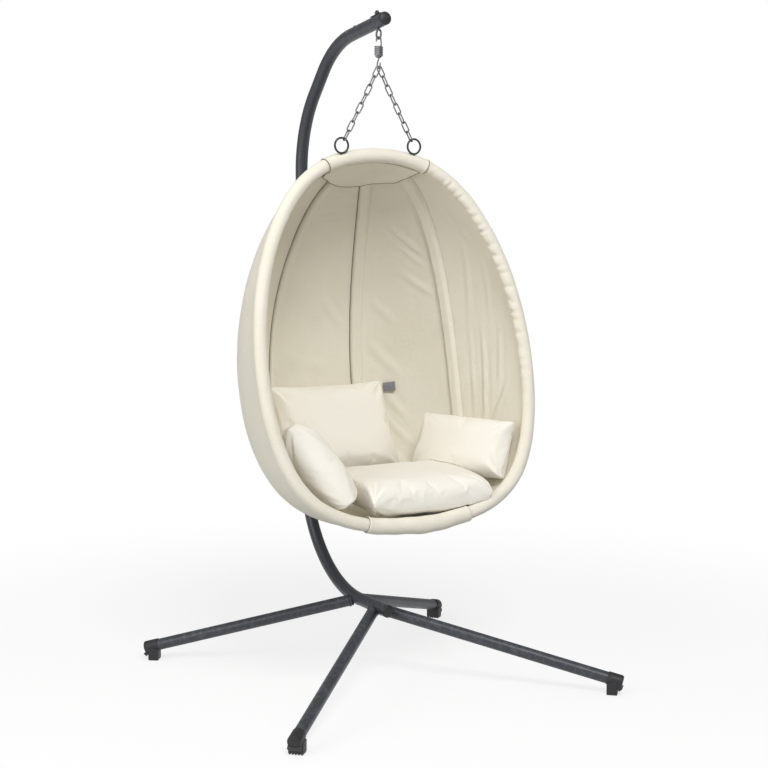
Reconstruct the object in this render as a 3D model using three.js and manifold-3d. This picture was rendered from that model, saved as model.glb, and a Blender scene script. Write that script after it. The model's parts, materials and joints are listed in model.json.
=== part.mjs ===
// A hanging pod chair: an egg-shaped fabric pod on a C-shaped tube stand with four sloping legs.
// Millimetres, +Z up, the sitter faces -Y. The origin is on the floor, midway between the four feet.
import * as THREE from "three";
import { mergeVertices } from "three/addons/utils/BufferGeometryUtils.js";
import Module from "manifold-3d";

const wasm = await Module();
wasm.setup();

// Fits
const seatGap = 0.3; // between two pieces that touch
const settleGap = 0.6; // left by a cushion, measured the way it sank
const overrun = 5; // how far a cutter runs past what it cuts
const weldReach = 0.001; // points nearer than this are one
const tubeSides = 12;
const wireSides = 6;
const boltSides = 8;
const searchSteps = 40;

// Stand
const footHalfX = 516;
const footHalfY = 500;
const hookSetforward = 22; // the hook hangs this far ahead of the middle of the feet
const poleDiameter = 38;
const poleWall = 1.5;
const hubHeight = 215; // middle of the pole's level lower end
const hubFront = -75;
const lowerRunLength = 170;
const lowerBendRadius = 360;
const lowerBendTurn = THREE.MathUtils.degToRad(89);
const uprightLength = 933;
const shoulderRadius = 350;
const shoulderTurn = THREE.MathUtils.degToRad(43.2);
const shoulderRun = 89;
const crownRadius = 300;
const crownTurn = THREE.MathUtils.degToRad(39.1);
const armRun = 204; // straight stretch after the last bend, to the tip
const armTubeLength = 200; // the separate tube at the tip
const lowerJointShare = 0.2; // how far up the upright the hidden joint lies
const sleeveLength = 90;
const sleeveWall = 2;
const screwRadius = 3;
const screwHeadRadius = 5.5;
const screwHeadHeight = 3;
const screwLength = 9;
const screwSetback = 25; // from the joint to the screw
const plugInsert = 20;
const plugRim = 3;
const plugDome = 6;
const plugDomeShares = [
  [0.6, 0.8],
  [1, 0.4],
]; // how far out, and how wide there

// Legs and feet
const legDiameter = 35;
const legWall = 1.5;
const frontRootY = -2;
const rearRootY = 118;
const rootDrop = 4; // the leg's axis meets the pole this far below its middle
const legStart = 25; // first section of a leg, from the pole's middle
const socketLength = 85;
const socketWall = 2;
const footAxisHeight = 41; // the leg's axis above the floor over the foot's middle
const footLength = 46;
const footWall = 1.8;
const footEndWall = 3;
const footBlockWidth = 42;
const footSoleLength = 31;
const footGrooves = 5;
const footGrooveWidth = 3.6;
const footGrooveDepth = 2.5;
const lowerBendSteps = 10;
const upperBendSteps = 6;

// Eye bolt, spring and hook
const eyeWire = 6;
const eyeRadius = 13; // to the middle of the wire
const washerLength = 46;
const washerWidth = 22;
const washerThickness = 3;
const eyeSteps = 18;
const nutRadius = 7;
const nutSides = 6;
const nutHeight = 6;
const nutCrown = 5;
const springWire = 4;
const springRadius = 10.7;
const springPitch = 4.6;
const springCurls = 6;
const curlSteps = 8;
const curlSides = 5;
const springNeckRadius = 5;
const springNeckTurns = 0.4; // level turns at the neck
const springHookRadius = 7.5;
const springHookRise = 18; // from the top curl to the middle of the hook's bow
const springHookRiseShare = 0.5; // where its straight side ends
const springHookTail = 4; // the hook's open end, below its bow
const springBowSteps = 6;
const gapSamples = 4;
const gapReach = 3; // diameters of wire between the stretches that are compared
const hookWire = 4;
const hookRadius = 7.8;
const hookShank = 23.2;
const hookTip = 8;
const hookJogShares = [0.42, 0.7]; // where the shank leans over to the hook's back
const hookBowSteps = 8;
const hookSides = 10;
const hookHeadRadius = 3.9;
const hookHeadHeight = 3;
const collarRadius = 4.3; // washer between the hook's head and the spring's neck
const collarHeight = 1.1;

// Chains
const linkGap = 0.4; // between hanging links, hook and rings
const linkWire = 4;
const linkWidth = 18;
const linkInnerLength = 29.9;
const linksPerChain = 8;
const linkBowSteps = 4;
const firstLinkRoom = 0.2; // further room between the two first links on the hook
const ringWire = 6;
const ringRadius = 21.5;
const ringSpacing = 240;
const ringSteps = 18;

// Pod: an egg-shaped hoop, leaning back at the top, and a shell behind it
const podLean = THREE.MathUtils.degToRad(13.44);
const hoopLength = 1073.3;
const hoopHalfWidth = 432.1;
const hoopShapeShares = [1, -0.0988, 0.1775, -0.1041, 0.0241, -0.0201, 0.2034];
const hoopSetback = 21; // top of the hoop behind the hook
const ringSetback = 3; // ring plane behind the hook
const chainSetback = 0.6; // lower end of the second links behind the hook
const ringLift = 26.3; // ring centre above the top of the hoop's axis
const hoopDiameter = 19;
const hoopWall = 1.5;
const spigotReach = 60;
const lugWidth = 6;
const hoopSides = 8;
const hoopSteps = 16;
const podDepth = 560;
const podDepthPower = 0.337;
const podDepthSlopeShare = 0.204;
const podDepthCurveShare = -0.168;
const rimReachShare = 0.95; // the most of the pod's depth that its rim may stand back
const shellThickness = 5;
const shellProud = 4; // outer face of the fabric outside the pod's nominal surface
const pocketHalfWidth = 21;
const pocketCrest = 17; // pocket's inner face inside the nominal surface
const pocketCap = THREE.MathUtils.degToRad(16); // widest half of a pocket, near the ends of the shell
const pocketStart = THREE.MathUtils.degToRad(5.2);
const pocketShoulderShare = 0.5;
const pocketRimShare = 0.8; // how near the outermost pockets come to the shell's rim
const ribDiameter = 9;
const ribInset = 8.5;
const ribEndTurn = THREE.MathUtils.degToRad(3.6);
const bracketTurn = THREE.MathUtils.degToRad(4.6);
const boreBeyondRib = THREE.MathUtils.degToRad(0.2);
const ribAngles = [-58, -20, 20, 58].map(THREE.MathUtils.degToRad);
const bracketTop = 3.4; // bracket's faces below the middle of the hoop's tube
const bracketBottom = 17;
const bracketSteps = 8;
const shellTurns = [1.2, 4.9, 5.2, 10, 18, 31, 44, 59, 75, 92, 109, 127, 148, 165, 174.8, 175.1, 178.8].map(
  THREE.MathUtils.degToRad,
);
const roofTurn = THREE.MathUtils.degToRad(32);
const roofInset = 18;
const roofThickness = 2.5;
const roofEdgeReach = 22; // from the hoop's plane
const tabTurn = THREE.MathUtils.degToRad(99);
const tabColumn = 15;
const tabDownShares = [0.37, 0.55];
const tabAcrossShares = [0.43, 0.72];
const tabLift = 0.6;
const tabThickness = 2;

// Sleeves and flaps round the hoop
const hoopSleeveRadius = 19.5;
const sleeveSides = 10;
const ringClearance = 1;
const sleeveLining = 0.9; // clearance of the padded sleeve round the hoop
const flapHalfWidth = 166;
const flapThickness = 2.5;
const flapSpacing = 35;
const flapWaveStep = 1.7; // how far the waves turn from one station to the next
const bottomFlapWave = 6;
// round the hoop, from outwards towards the back
const flapAngles = [56, 36, 0, -36, -72, -108, -144, -180, -196].map(THREE.MathUtils.degToRad);

// Cushions, before they settle. Their places are shares of the pod across, back and down.
const cushionSteps = 10;
const cushionWelt = 8;
const cushionFlatPower = 4; // a higher power makes a flatter, fuller cushion
const cushionCrownPower = 0.5;
const cushionBowPower = 4; // the bow lifts the cushion's two side edges
const settleRoom = 90; // how far before and behind its first place a cushion may settle
const settleSteps = 18;
const podSizes = { across: hoopHalfWidth, back: podDepth, down: hoopLength };
const cushions = [
  {
    name: "seat_cushion",
    placeShares: { across: 0.125, back: 0.240, down: 0.904 },
    width: { share: 0.916, of: "across" },
    height: { share: 0.575, of: "back" },
    thickness: { share: 0.102, of: "down" },
    drawShare: 0.05,
    bowShare: 0.2,
    turns: { lean: 3, yaw: 0, roll: -1 },
    settleWay: [0, -0.2, -0.98],
  },
  {
    name: "back_cushion",
    placeShares: { across: -0.019, back: 0.756, down: 0.701 },
    width: { share: 0.889, of: "across" },
    height: { share: 0.272, of: "down" },
    thickness: { share: 0.2, of: "back" },
    drawShare: 0.055,
    bowShare: 0,
    turns: { lean: 64, yaw: 0, roll: 0 },
    settleWay: [0, 0.3, -0.95],
  },
  {
    name: "left_arm_cushion",
    placeShares: { across: -0.597, back: 0.196, down: 0.825 },
    width: { share: 0.393, of: "back" },
    height: { share: 0.261, of: "down" },
    thickness: { share: 0.255, of: "across" },
    drawShare: 0.06,
    bowShare: 0,
    turns: { lean: 56, yaw: 84, roll: -18 },
    settleWay: [0, 0, -1],
  },
  {
    name: "right_arm_cushion",
    placeShares: { across: 0.653, back: 0.279, down: 0.789 },
    width: { share: 0.571, of: "back" },
    height: { share: 0.142, of: "down" },
    thickness: { share: 0.204, of: "across" },
    drawShare: 0.05,
    bowShare: 0,
    turns: { lean: 68, yaw: -64, roll: -4 },
    settleWay: [0.1, 0, -0.99],
  },
];

const group = new THREE.Group();

const finishes = {
  coatedSteel: { color: 0x3a3b3f, roughness: 0.5, metalness: 0.3 },
  blackPlastic: { color: 0x1d1d1f, roughness: 0.6, metalness: 0 },
  zinc: { color: 0x8b8b8d, roughness: 0.35, metalness: 0.9 },
  fabric: { color: 0xece3cc, roughness: 0.9, metalness: 0 },
  cushion: { color: 0xf7f1e1, roughness: 0.9, metalness: 0 },
  webbing: { color: 0x7d7a84, roughness: 0.8, metalness: 0 },
};

const materials = {};
for (const [name, values] of Object.entries(finishes)) {
  materials[name] = new THREE.MeshStandardMaterial(values);
}

function place(name, geometry, finish) {
  const mesh = new THREE.Mesh(geometry, materials[finish]);
  mesh.name = name;
  group.add(mesh);
  return mesh;
}

// Solids and cuts

function solid(geometry) {
  const bare = geometry.clone();
  bare.deleteAttribute("normal");
  bare.deleteAttribute("uv");
  const merged = mergeVertices(bare, weldReach);
  return new wasm.Manifold(
    new wasm.Mesh({
      numProp: 3,
      vertProperties: new Float32Array(merged.attributes.position.array),
      triVerts: new Uint32Array(merged.index.array),
    }),
  );
}

function skin(made) {
  const mesh = made.getMesh();
  const geometry = new THREE.BufferGeometry();
  geometry.setAttribute("position", new THREE.BufferAttribute(new Float32Array(mesh.vertProperties), 3));
  geometry.setIndex(new THREE.BufferAttribute(new Uint32Array(mesh.triVerts), 1));
  geometry.computeVertexNormals();
  return geometry;
}

// A tube through rings of points. A looped tube closes on itself, any other gets a fan at each end.
function tubeOfRings(rings, looped = false) {
  const sides = rings[0].length;
  const points = rings.flat();
  const faces = [];
  const bands = looped ? rings.length : rings.length - 1;
  for (let i = 0; i < bands; i++) {
    const next = (i + 1) % rings.length;
    for (let j = 0; j < sides; j++) {
      const k = (j + 1) % sides;
      const corners = [i * sides + j, i * sides + k, next * sides + k, next * sides + j];
      faces.push(corners[0], corners[1], corners[2], corners[0], corners[2], corners[3]);
    }
  }
  if (!looped) {
    const last = (rings.length - 1) * sides;
    for (let j = 1; j < sides - 1; j++) {
      faces.push(0, j + 1, j, last, last + j, last + j + 1);
    }
  }
  return facing(points, faces);
}

// A sheet between two grids of points, with its edges closed
function sheet(front, back) {
  const rows = front.length;
  const columns = front[0].length;
  const points = [...front.flat(), ...back.flat()];
  const behind = rows * columns;
  const faces = [];
  for (let i = 0; i < rows - 1; i++) {
    for (let j = 0; j < columns - 1; j++) {
      const a = i * columns + j;
      const b = a + columns;
      faces.push(a, a + 1, b + 1, a, b + 1, b);
      faces.push(behind + a, behind + b + 1, behind + a + 1, behind + a, behind + b, behind + b + 1);
    }
  }
  const edge = [];
  for (let j = 0; j < columns - 1; j++) edge.push(j);
  for (let i = 0; i < rows - 1; i++) edge.push(i * columns + columns - 1);
  for (let j = columns - 1; j > 0; j--) edge.push((rows - 1) * columns + j);
  for (let i = rows - 1; i > 0; i--) edge.push(i * columns);
  edge.forEach((a, n) => {
    const b = edge[(n + 1) % edge.length];
    faces.push(a, behind + a, behind + b, a, behind + b, b);
  });
  return facing(points, faces);
}

// A geometry of these points and faces, turned so that its faces point outwards
function facing(points, faces) {
  let volume = 0;
  for (let i = 0; i < faces.length; i += 3) {
    const [a, b, c] = [0, 1, 2].map((n) => points[faces[i + n]]);
    volume += a.dot(b.clone().cross(c));
  }
  if (volume < 0) {
    for (let i = 0; i < faces.length; i += 3) {
      [faces[i + 1], faces[i + 2]] = [faces[i + 2], faces[i + 1]];
    }
  }
  const geometry = new THREE.BufferGeometry().setFromPoints(points);
  geometry.setIndex(faces);
  geometry.computeVertexNormals();
  return geometry;
}

// Rings of points square to a line of points. "up" sets where each ring starts.
function ringsAlong(line, radius, sides, up, looped = false) {
  return line.map((point, i) => {
    const before = line[looped ? (i - 1 + line.length) % line.length : Math.max(i - 1, 0)];
    const after = line[looped ? (i + 1) % line.length : Math.min(i + 1, line.length - 1)];
    const tangent = after.clone().sub(before).normalize();
    const start = up.clone().addScaledVector(tangent, -up.dot(tangent)).normalize();
    const side = tangent.clone().cross(start);
    return Array.from({ length: sides }, (_, j) => {
      const turn = ((j + 0.5) / sides) * 2 * Math.PI;
      return point
        .clone()
        .addScaledVector(start, radius * Math.cos(turn))
        .addScaledVector(side, radius * Math.sin(turn));
    });
  });
}

const acrossX = new THREE.Vector3(1, 0, 0);
const acrossY = new THREE.Vector3(0, 1, 0);
const upZ = new THREE.Vector3(0, 0, 1);

// A curve through chosen stations, which a tube follows one station at a time
class Route extends THREE.Curve {
  constructor(stations) {
    super();
    this.stations = stations;
  }
  getPoint(t) {
    const place = t * (this.stations.length - 1);
    const i = Math.min(Math.floor(place), this.stations.length - 2);
    return this.stations[i].point.clone().lerp(this.stations[i + 1].point, place - i);
  }
  getPointAt(t) {
    return this.getPoint(t);
  }
  // Sections all start from +X, so that nested tubes have their flats in line
  computeFrenetFrames() {
    const tangents = this.stations.map((station) => station.heading.clone());
    const normals = tangents.map((t) => acrossX.clone().addScaledVector(t, -t.x).normalize());
    const binormals = tangents.map((t, i) => t.clone().cross(normals[i]));
    return { tangents, normals, binormals };
  }
}

function circle(radius, sides) {
  const points = Array.from({ length: sides }, (_, j) => {
    const turn = ((j + 0.5) / sides) * 2 * Math.PI;
    return new THREE.Vector2(radius * Math.cos(turn), radius * Math.sin(turn));
  });
  return points;
}

// A tube along stations, hollow and open at both ends where a bore is given
function pipe(stations, radius, bore = 0, sides = tubeSides) {
  const section = new THREE.Shape(circle(radius, sides));
  if (bore) section.holes.push(new THREE.Path(circle(bore, sides).reverse()));
  return new THREE.ExtrudeGeometry(section, {
    steps: stations.length - 1,
    extrudePath: new Route(stations),
    bevelEnabled: false,
  });
}

function straight(from, to) {
  const heading = to.clone().sub(from).normalize();
  return [
    { point: from, heading },
    { point: to, heading },
  ];
}

// A cylinder from one point to another
function rod(from, to, radius, sides = tubeSides) {
  return pipe(straight(from, to), radius, 0, sides);
}

// The pole

// Stations in the plane x = 0: straight runs, and bends in even steps
function bendPath(start, startAngle, moves) {
  let angle = startAngle;
  const here = start.clone();
  const heading = () => new THREE.Vector3(0, Math.cos(angle), Math.sin(angle));
  const stations = [{ point: here.clone(), heading: heading() }];
  const mark = () => stations.push({ point: here.clone(), heading: heading() });
  for (const move of moves) {
    if (move.run) {
      here.addScaledVector(heading(), move.run);
      mark();
      continue;
    }
    const step = move.turn / move.steps;
    for (let i = 0; i < move.steps; i++) {
      const chord = 2 * move.radius * Math.sin(step / 2);
      angle += step / 2;
      here.addScaledVector(heading(), chord);
      angle += step / 2;
      mark();
    }
  }
  return stations;
}

const poleRadius = poleDiameter / 2;
const poleBore = poleRadius - poleWall;
const lowerUpright = uprightLength * lowerJointShare;
const lowerStations = bendPath(new THREE.Vector3(0, hubFront, hubHeight), 0, [
  { run: lowerRunLength },
  { radius: lowerBendRadius, turn: lowerBendTurn, steps: lowerBendSteps },
  { run: lowerUpright },
]);
const lowerEnd = lowerStations.at(-1);
const middleStations = bendPath(lowerEnd.point, lowerBendTurn, [
  { run: uprightLength - lowerUpright },
  { radius: shoulderRadius, turn: shoulderTurn, steps: upperBendSteps },
  { run: shoulderRun },
  { radius: crownRadius, turn: crownTurn, steps: upperBendSteps },
  { run: armRun - armTubeLength },
]);
const middleEnd = middleStations.at(-1);
const armAngle = lowerBendTurn + shoulderTurn + crownTurn;
const armStations = bendPath(middleEnd.point, armAngle, [{ run: armTubeLength }]);
const armTip = armStations.at(-1);

// Moves both ends of a route inwards along it
function shorten(stations, from, to) {
  const cut = stations.map((s) => ({ point: s.point.clone(), heading: s.heading.clone() }));
  cut[0].point.addScaledVector(cut[0].heading, from);
  cut.at(-1).point.addScaledVector(cut.at(-1).heading, -to);
  return cut;
}

// Sockets and legs

const legNames = ["front_left", "front_right", "rear_left", "rear_right"];
const legs = legNames.map((name) => {
  const front = name.startsWith("front");
  const left = name.endsWith("left");
  const root = new THREE.Vector3(0, front ? frontRootY : rearRootY, hubHeight - rootDrop);
  const footX = left ? -footHalfX : footHalfX;
  const foot = new THREE.Vector3(footX, front ? -footHalfY : footHalfY, footAxisHeight);
  const along = foot.clone().sub(root).normalize();
  return { name, root, foot, along };
});

const legRadius = legDiameter / 2;
const socketRadius = legRadius - legWall - seatGap;

let lowerPole = solid(pipe(lowerStations, poleRadius));
for (const leg of legs) {
  const end = leg.root.clone().addScaledVector(leg.along, legStart + socketLength);
  lowerPole = lowerPole.add(solid(rod(leg.root, end, socketRadius)));
}
for (const leg of legs) {
  const end = leg.root.clone().addScaledVector(leg.along, legStart + socketLength + overrun);
  lowerPole = lowerPole.subtract(solid(rod(leg.root, end, socketRadius - socketWall)));
}
const lowerBore = shorten(lowerStations, -overrun, -overrun);
lowerPole = lowerPole.subtract(solid(pipe(lowerBore, poleBore)));

// Screws hold each joining sleeve: one through the wall of the tube below the joint
function screwAt(station, outward, setback) {
  const seat = station.point
    .clone()
    .addScaledVector(station.heading, -setback)
    .addScaledVector(outward, poleRadius);
  return { seat, outward };
}

const poleOutward = (heading) => acrossX.clone().cross(heading).negate();
const lowerScrew = screwAt(lowerEnd, poleOutward(lowerEnd.heading), screwSetback);
const upperScrew = screwAt(armStations[0], poleOutward(armStations[0].heading), -screwSetback);

function screwHole(screw) {
  const from = screw.seat.clone().addScaledVector(screw.outward, overrun);
  const to = screw.seat.clone().addScaledVector(screw.outward, -screwLength - overrun);
  return solid(rod(from, to, screwRadius + seatGap, boltSides));
}

// Closed rings about an axis, given as pairs of place and radius
function turned(sections, axis, sides) {
  const rings = sections.map(
    ([point, radius]) => ringsAlong([point, point.clone().add(axis)], radius, sides, acrossX)[0],
  );
  return tubeOfRings(rings);
}

function screwGeometry(screw) {
  const foot = screw.seat.clone().addScaledVector(screw.outward, -screwLength);
  const under = screw.seat.clone().addScaledVector(screw.outward, seatGap);
  const waist = under.clone().addScaledVector(screw.outward, screwHeadHeight / 2);
  const top = under.clone().addScaledVector(screw.outward, screwHeadHeight);
  const sections = [
    [foot, screwRadius],
    [under, screwRadius],
    [under, screwHeadRadius],
    [waist, screwHeadRadius],
    [top, screwHeadRadius / 2],
  ];
  return turned(sections, screw.outward, boltSides);
}

place("pole_lower_tube", skin(lowerPole.subtract(screwHole(lowerScrew))), "coatedSteel");
place("pole_middle_tube", pipe(shorten(middleStations, seatGap, 0), poleRadius, poleBore), "coatedSteel");

// A straight route on from a station, or as far to both sides of it
function straightOn(station, length, bothWays = false) {
  const back = bothWays ? -length : 0;
  return straight(
    station.point.clone().addScaledVector(station.heading, back),
    station.point.clone().addScaledVector(station.heading, length),
  );
}

// The joining sleeves follow the tubes they sit in, so they share their stations
function joiningSleeve(stations, screw) {
  const outer = poleBore - seatGap;
  return skin(solid(pipe(stations, outer, outer - sleeveWall)).subtract(screwHole(screw)));
}

const lowerSleeve = straightOn(lowerEnd, sleeveLength / 2, true);
const sleeveAboveJoint = straightOn(armStations[0], sleeveLength / 2).slice(1);
const upperSleeve = [...middleStations.slice(-3), ...sleeveAboveJoint];
place("lower_joint_sleeve", joiningSleeve(lowerSleeve, lowerScrew), "zinc");
place("upper_joint_sleeve", joiningSleeve(upperSleeve, upperScrew), "zinc");
place("lower_joint_screw", screwGeometry(lowerScrew), "zinc");
place("upper_joint_screw", screwGeometry(upperScrew), "zinc");

// Domed plugs close the pole's two open ends
function plug(end, outward) {
  const at = (distance) => end.clone().addScaledVector(outward, distance);
  const stub = poleBore - seatGap;
  const dome = plugDomeShares.map(([out, wide]) => [at(plugRim + plugDome * out), poleRadius * wide]);
  const sections = [
    [at(-plugInsert), stub - seatGap],
    [at(seatGap), stub],
    [at(seatGap), poleRadius],
    [at(plugRim), poleRadius],
    ...dome,
  ];
  return turned(sections, outward, tubeSides);
}

place("arm_end_plug", plug(armTip.point, armTip.heading), "blackPlastic");
const baseOutward = lowerStations[0].heading.clone().negate();
place("base_end_plug", plug(lowerStations[0].point, baseOutward), "blackPlastic");

// Legs slide over the sockets, and their ends are shaped to the pole
const poleClear = solid(pipe(shorten(lowerStations, -overrun, 0), poleRadius + seatGap));
for (const leg of legs) {
  const from = leg.root.clone().addScaledVector(leg.along, legStart);
  const to = leg.foot.clone().addScaledVector(leg.along, footLength / 2 - footEndWall - seatGap);
  const tube = solid(pipe(straight(from, to), legRadius, legRadius - legWall));
  place(`leg_${leg.name}`, skin(tube.subtract(poleClear)), "coatedSteel");
}

// A foot: a cap over the leg's end on a block with a grooved sole
for (const leg of legs) {
  const flat = new THREE.Vector3(leg.along.x, leg.along.y, 0).normalize();
  const slope = -leg.along.z;
  const capRadius = legRadius + seatGap + footWall;
  const capFrom = leg.foot.clone().addScaledVector(leg.along, -footLength / 2);
  const capTo = leg.foot.clone().addScaledVector(leg.along, footLength / 2);
  const heel = -footLength / 2;
  const topAt = (x) => footAxisHeight - slope * x;
  const profile = new THREE.Shape([
    new THREE.Vector2(heel, 0),
    new THREE.Vector2(heel + footSoleLength, 0),
    new THREE.Vector2(footLength / 2 - footEndWall, topAt(footLength / 2) - capRadius / 2),
    new THREE.Vector2(footLength / 2 - footEndWall, topAt(footLength / 2)),
    new THREE.Vector2(heel, topAt(heel)),
  ]);
  const block = new THREE.ExtrudeGeometry(profile, { depth: footBlockWidth, bevelEnabled: false });
  block.translate(0, 0, -footBlockWidth / 2);
  const across = upZ.clone().cross(flat).negate();
  const turn = new THREE.Matrix4().makeBasis(flat, upZ, across);
  block.applyMatrix4(turn.setPosition(leg.foot.x, leg.foot.y, 0));
  let foot = solid(block).add(solid(rod(capFrom, capTo, capRadius)));
  const boreFrom = capFrom.clone().addScaledVector(leg.along, -overrun);
  const boreTo = capTo.clone().addScaledVector(leg.along, -footEndWall);
  foot = foot.subtract(solid(rod(boreFrom, boreTo, legRadius + seatGap)));
  const pitch = footBlockWidth / footGrooves;
  for (let i = 0; i < footGrooves; i++) {
    const groove = new THREE.BoxGeometry(footLength * 2, footGrooveDepth * 2, footGrooveWidth);
    groove.translate(0, 0, (i - (footGrooves - 1) / 2) * pitch);
    groove.applyMatrix4(turn);
    foot = foot.subtract(solid(groove));
  }
  place(`foot_${leg.name}`, skin(foot), "blackPlastic");
}

// Eye bolt through the arm, its ring over the hook's axis

const armUp = acrossX.clone().cross(armTip.heading).negate();
const hookY = -hookSetforward;
const eyeDrop = poleRadius + seatGap + eyeRadius + eyeWire / 2;
const eyeAlongArm = (middleEnd.point.y - eyeDrop * armUp.y - hookY) / -armTip.heading.y;
const eyeSeat = middleEnd.point.clone().addScaledVector(armTip.heading, eyeAlongArm);
const eyeCentre = eyeSeat.clone().addScaledVector(armUp, -eyeDrop);
const saddleTop = poleRadius + seatGap + washerThickness;
const boltTop = saddleTop + seatGap + nutHeight;

const alongBolt = (distance) => eyeSeat.clone().addScaledVector(armUp, distance);
const boltBore = eyeWire / 2 + seatGap;
const boltHole = solid(rod(alongBolt(-poleDiameter), alongBolt(poleDiameter), boltBore, boltSides));
const armTube = solid(pipe(shorten(armStations, seatGap, 0), poleRadius, poleBore));
place("pole_arm_tube", skin(armTube.subtract(boltHole).subtract(screwHole(upperScrew))), "coatedSteel");

// A round ring that stands in the plane of the arm
function ringAcross(centre, radius, wire, steps, sides) {
  return new THREE.TorusGeometry(radius, wire / 2, sides, steps)
    .rotateY(Math.PI / 2)
    .applyMatrix4(new THREE.Matrix4().setPosition(centre));
}

const shank = solid(rod(alongBolt(-eyeDrop + eyeRadius), alongBolt(boltTop), eyeWire / 2, boltSides));
const eye = solid(ringAcross(eyeCentre, eyeRadius, eyeWire, eyeSteps, boltSides));
place("eye_bolt", skin(eye.add(shank)), "zinc");

const saddleOuter = rod(
  eyeSeat.clone().addScaledVector(armTip.heading, -washerLength / 2),
  eyeSeat.clone().addScaledVector(armTip.heading, washerLength / 2),
  saddleTop,
);
const saddleInner = rod(
  eyeSeat.clone().addScaledVector(armTip.heading, -washerLength),
  eyeSeat.clone().addScaledVector(armTip.heading, washerLength),
  poleRadius + seatGap,
);
const armBasis = new THREE.Matrix4().makeBasis(acrossX.clone().negate(), armTip.heading, armUp);
const saddleBlock = new THREE.BoxGeometry(washerWidth, washerLength * 2, saddleTop)
  .translate(0, 0, saddleTop / 2 + poleRadius / 2)
  .applyMatrix4(armBasis.setPosition(eyeSeat));
const saddle = solid(saddleOuter).intersect(solid(saddleBlock)).subtract(solid(saddleInner));
place("saddle_washer", skin(saddle.subtract(boltHole)), "zinc");

const nutSections = [
  [alongBolt(saddleTop + seatGap), nutRadius],
  [alongBolt(boltTop), nutRadius],
  [alongBolt(boltTop + nutCrown), nutRadius / 2],
];
const nutBore = rod(alongBolt(0), alongBolt(boltTop + seatGap), boltBore, boltSides);
place("eye_nut", skin(solid(turned(nutSections, armUp, nutSides)).subtract(solid(nutBore))), "zinc");

// Tension spring: an upper hook in the plane of the pod's width, close curls, and a neck that
// holds the lower hook

const eyePivot = eyeCentre.clone().addScaledVector(upZ, -eyeRadius);
const springHookTop = eyePivot.z + eyeWire / 2 + springWire / 2 + seatGap;
const springBowZ = springHookTop - springHookRadius;
const coilTop = springBowZ - springHookRise;
const neckZ = coilTop - (springCurls + 1) * springPitch;
const onHookAxis = (x, y, z) => new THREE.Vector3(x, hookY + y, z);

const springLine = [];
springLine.push(onHookAxis(-springHookRadius, 0, springBowZ - springWire / 2 - springHookTail));
springLine.push(onHookAxis(-springHookRadius, 0, springBowZ - springWire / 2));
for (let i = 0; i <= springBowSteps; i++) {
  const turn = Math.PI * (1 - i / springBowSteps);
  const x = springHookRadius * Math.cos(turn);
  springLine.push(onHookAxis(x, 0, springBowZ + springHookRadius * Math.sin(turn)));
}
springLine.push(onHookAxis(springHookRadius, 0, coilTop + springHookRise * springHookRiseShare));
springLine.push(onHookAxis((springHookRadius + springRadius) / 2, 0, coilTop + springWire));
const curlTurns = springCurls + 1 + springNeckTurns;
for (let i = 0; i <= curlTurns * curlSteps - 0.5; i++) {
  const turns = (i + 0.5) / curlSteps;
  const necked = Math.min(Math.max(turns - springCurls, 0), 1);
  const radius = springRadius + (springNeckRadius - springRadius) * necked;
  const z = coilTop - Math.min(turns, springCurls + 1) * springPitch;
  const turn = turns * 2 * Math.PI;
  springLine.push(onHookAxis(radius * Math.cos(turn), radius * Math.sin(turn), z));
}
place("suspension_spring", tubeOfRings(wireRings(springLine, springWire / 2, curlSides)), "zinc");
console.log("least gap of the spring's wire to itself, mm:", leastGap(springLine, springWire).toFixed(2));

// Rings of points along a wire that bends in space, each turned as little as possible from the last
function wireRings(line, radius, sides) {
  let start = acrossY.clone();
  return line.map((point, i) => {
    const before = line[Math.max(i - 1, 0)];
    const after = line[Math.min(i + 1, line.length - 1)];
    const tangent = after.clone().sub(before).normalize();
    start = start.addScaledVector(tangent, -start.dot(tangent)).normalize();
    const side = tangent.clone().cross(start);
    return Array.from({ length: sides }, (_, j) => {
      const turn = (j / sides) * 2 * Math.PI;
      return point
        .clone()
        .addScaledVector(start, radius * Math.cos(turn))
        .addScaledVector(side, radius * Math.sin(turn));
    });
  });
}

// The least gap between stretches of a wire that lie well apart along it
function leastGap(line, wire) {
  const fine = [];
  let travelled = 0;
  for (let i = 0; i < line.length - 1; i++) {
    const length = line[i].distanceTo(line[i + 1]);
    for (let k = 0; k < gapSamples; k++) {
      const share = k / gapSamples;
      const point = line[i].clone().lerp(line[i + 1], share);
      fine.push({ point, travelled: travelled + share * length });
    }
    travelled += length;
  }
  let least = Infinity;
  for (const a of fine) {
    for (const b of fine) {
      if (b.travelled - a.travelled < gapReach * wire) continue;
      least = Math.min(least, a.point.distanceTo(b.point) - wire);
    }
  }
  return least;
}

// Lower hook: a headed shank hangs in the spring's neck and ends in an open hook, seen from the side

const hookBowZ = neckZ - hookShank;
const collarBottom = neckZ + springWire / 2 + seatGap;
const headBottom = collarBottom + collarHeight + seatGap;
const hookAxisRod = (low, height, radius) =>
  rod(onHookAxis(0, 0, low), onHookAxis(0, 0, low + height), radius, hookSides);
const collarBore = hookAxisRod(collarBottom - overrun, collarHeight + 2 * overrun, hookWire / 2 + seatGap);
const collar = solid(hookAxisRod(collarBottom, collarHeight, collarRadius)).subtract(solid(collarBore));
place("hook_collar", skin(collar), "zinc");

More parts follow.
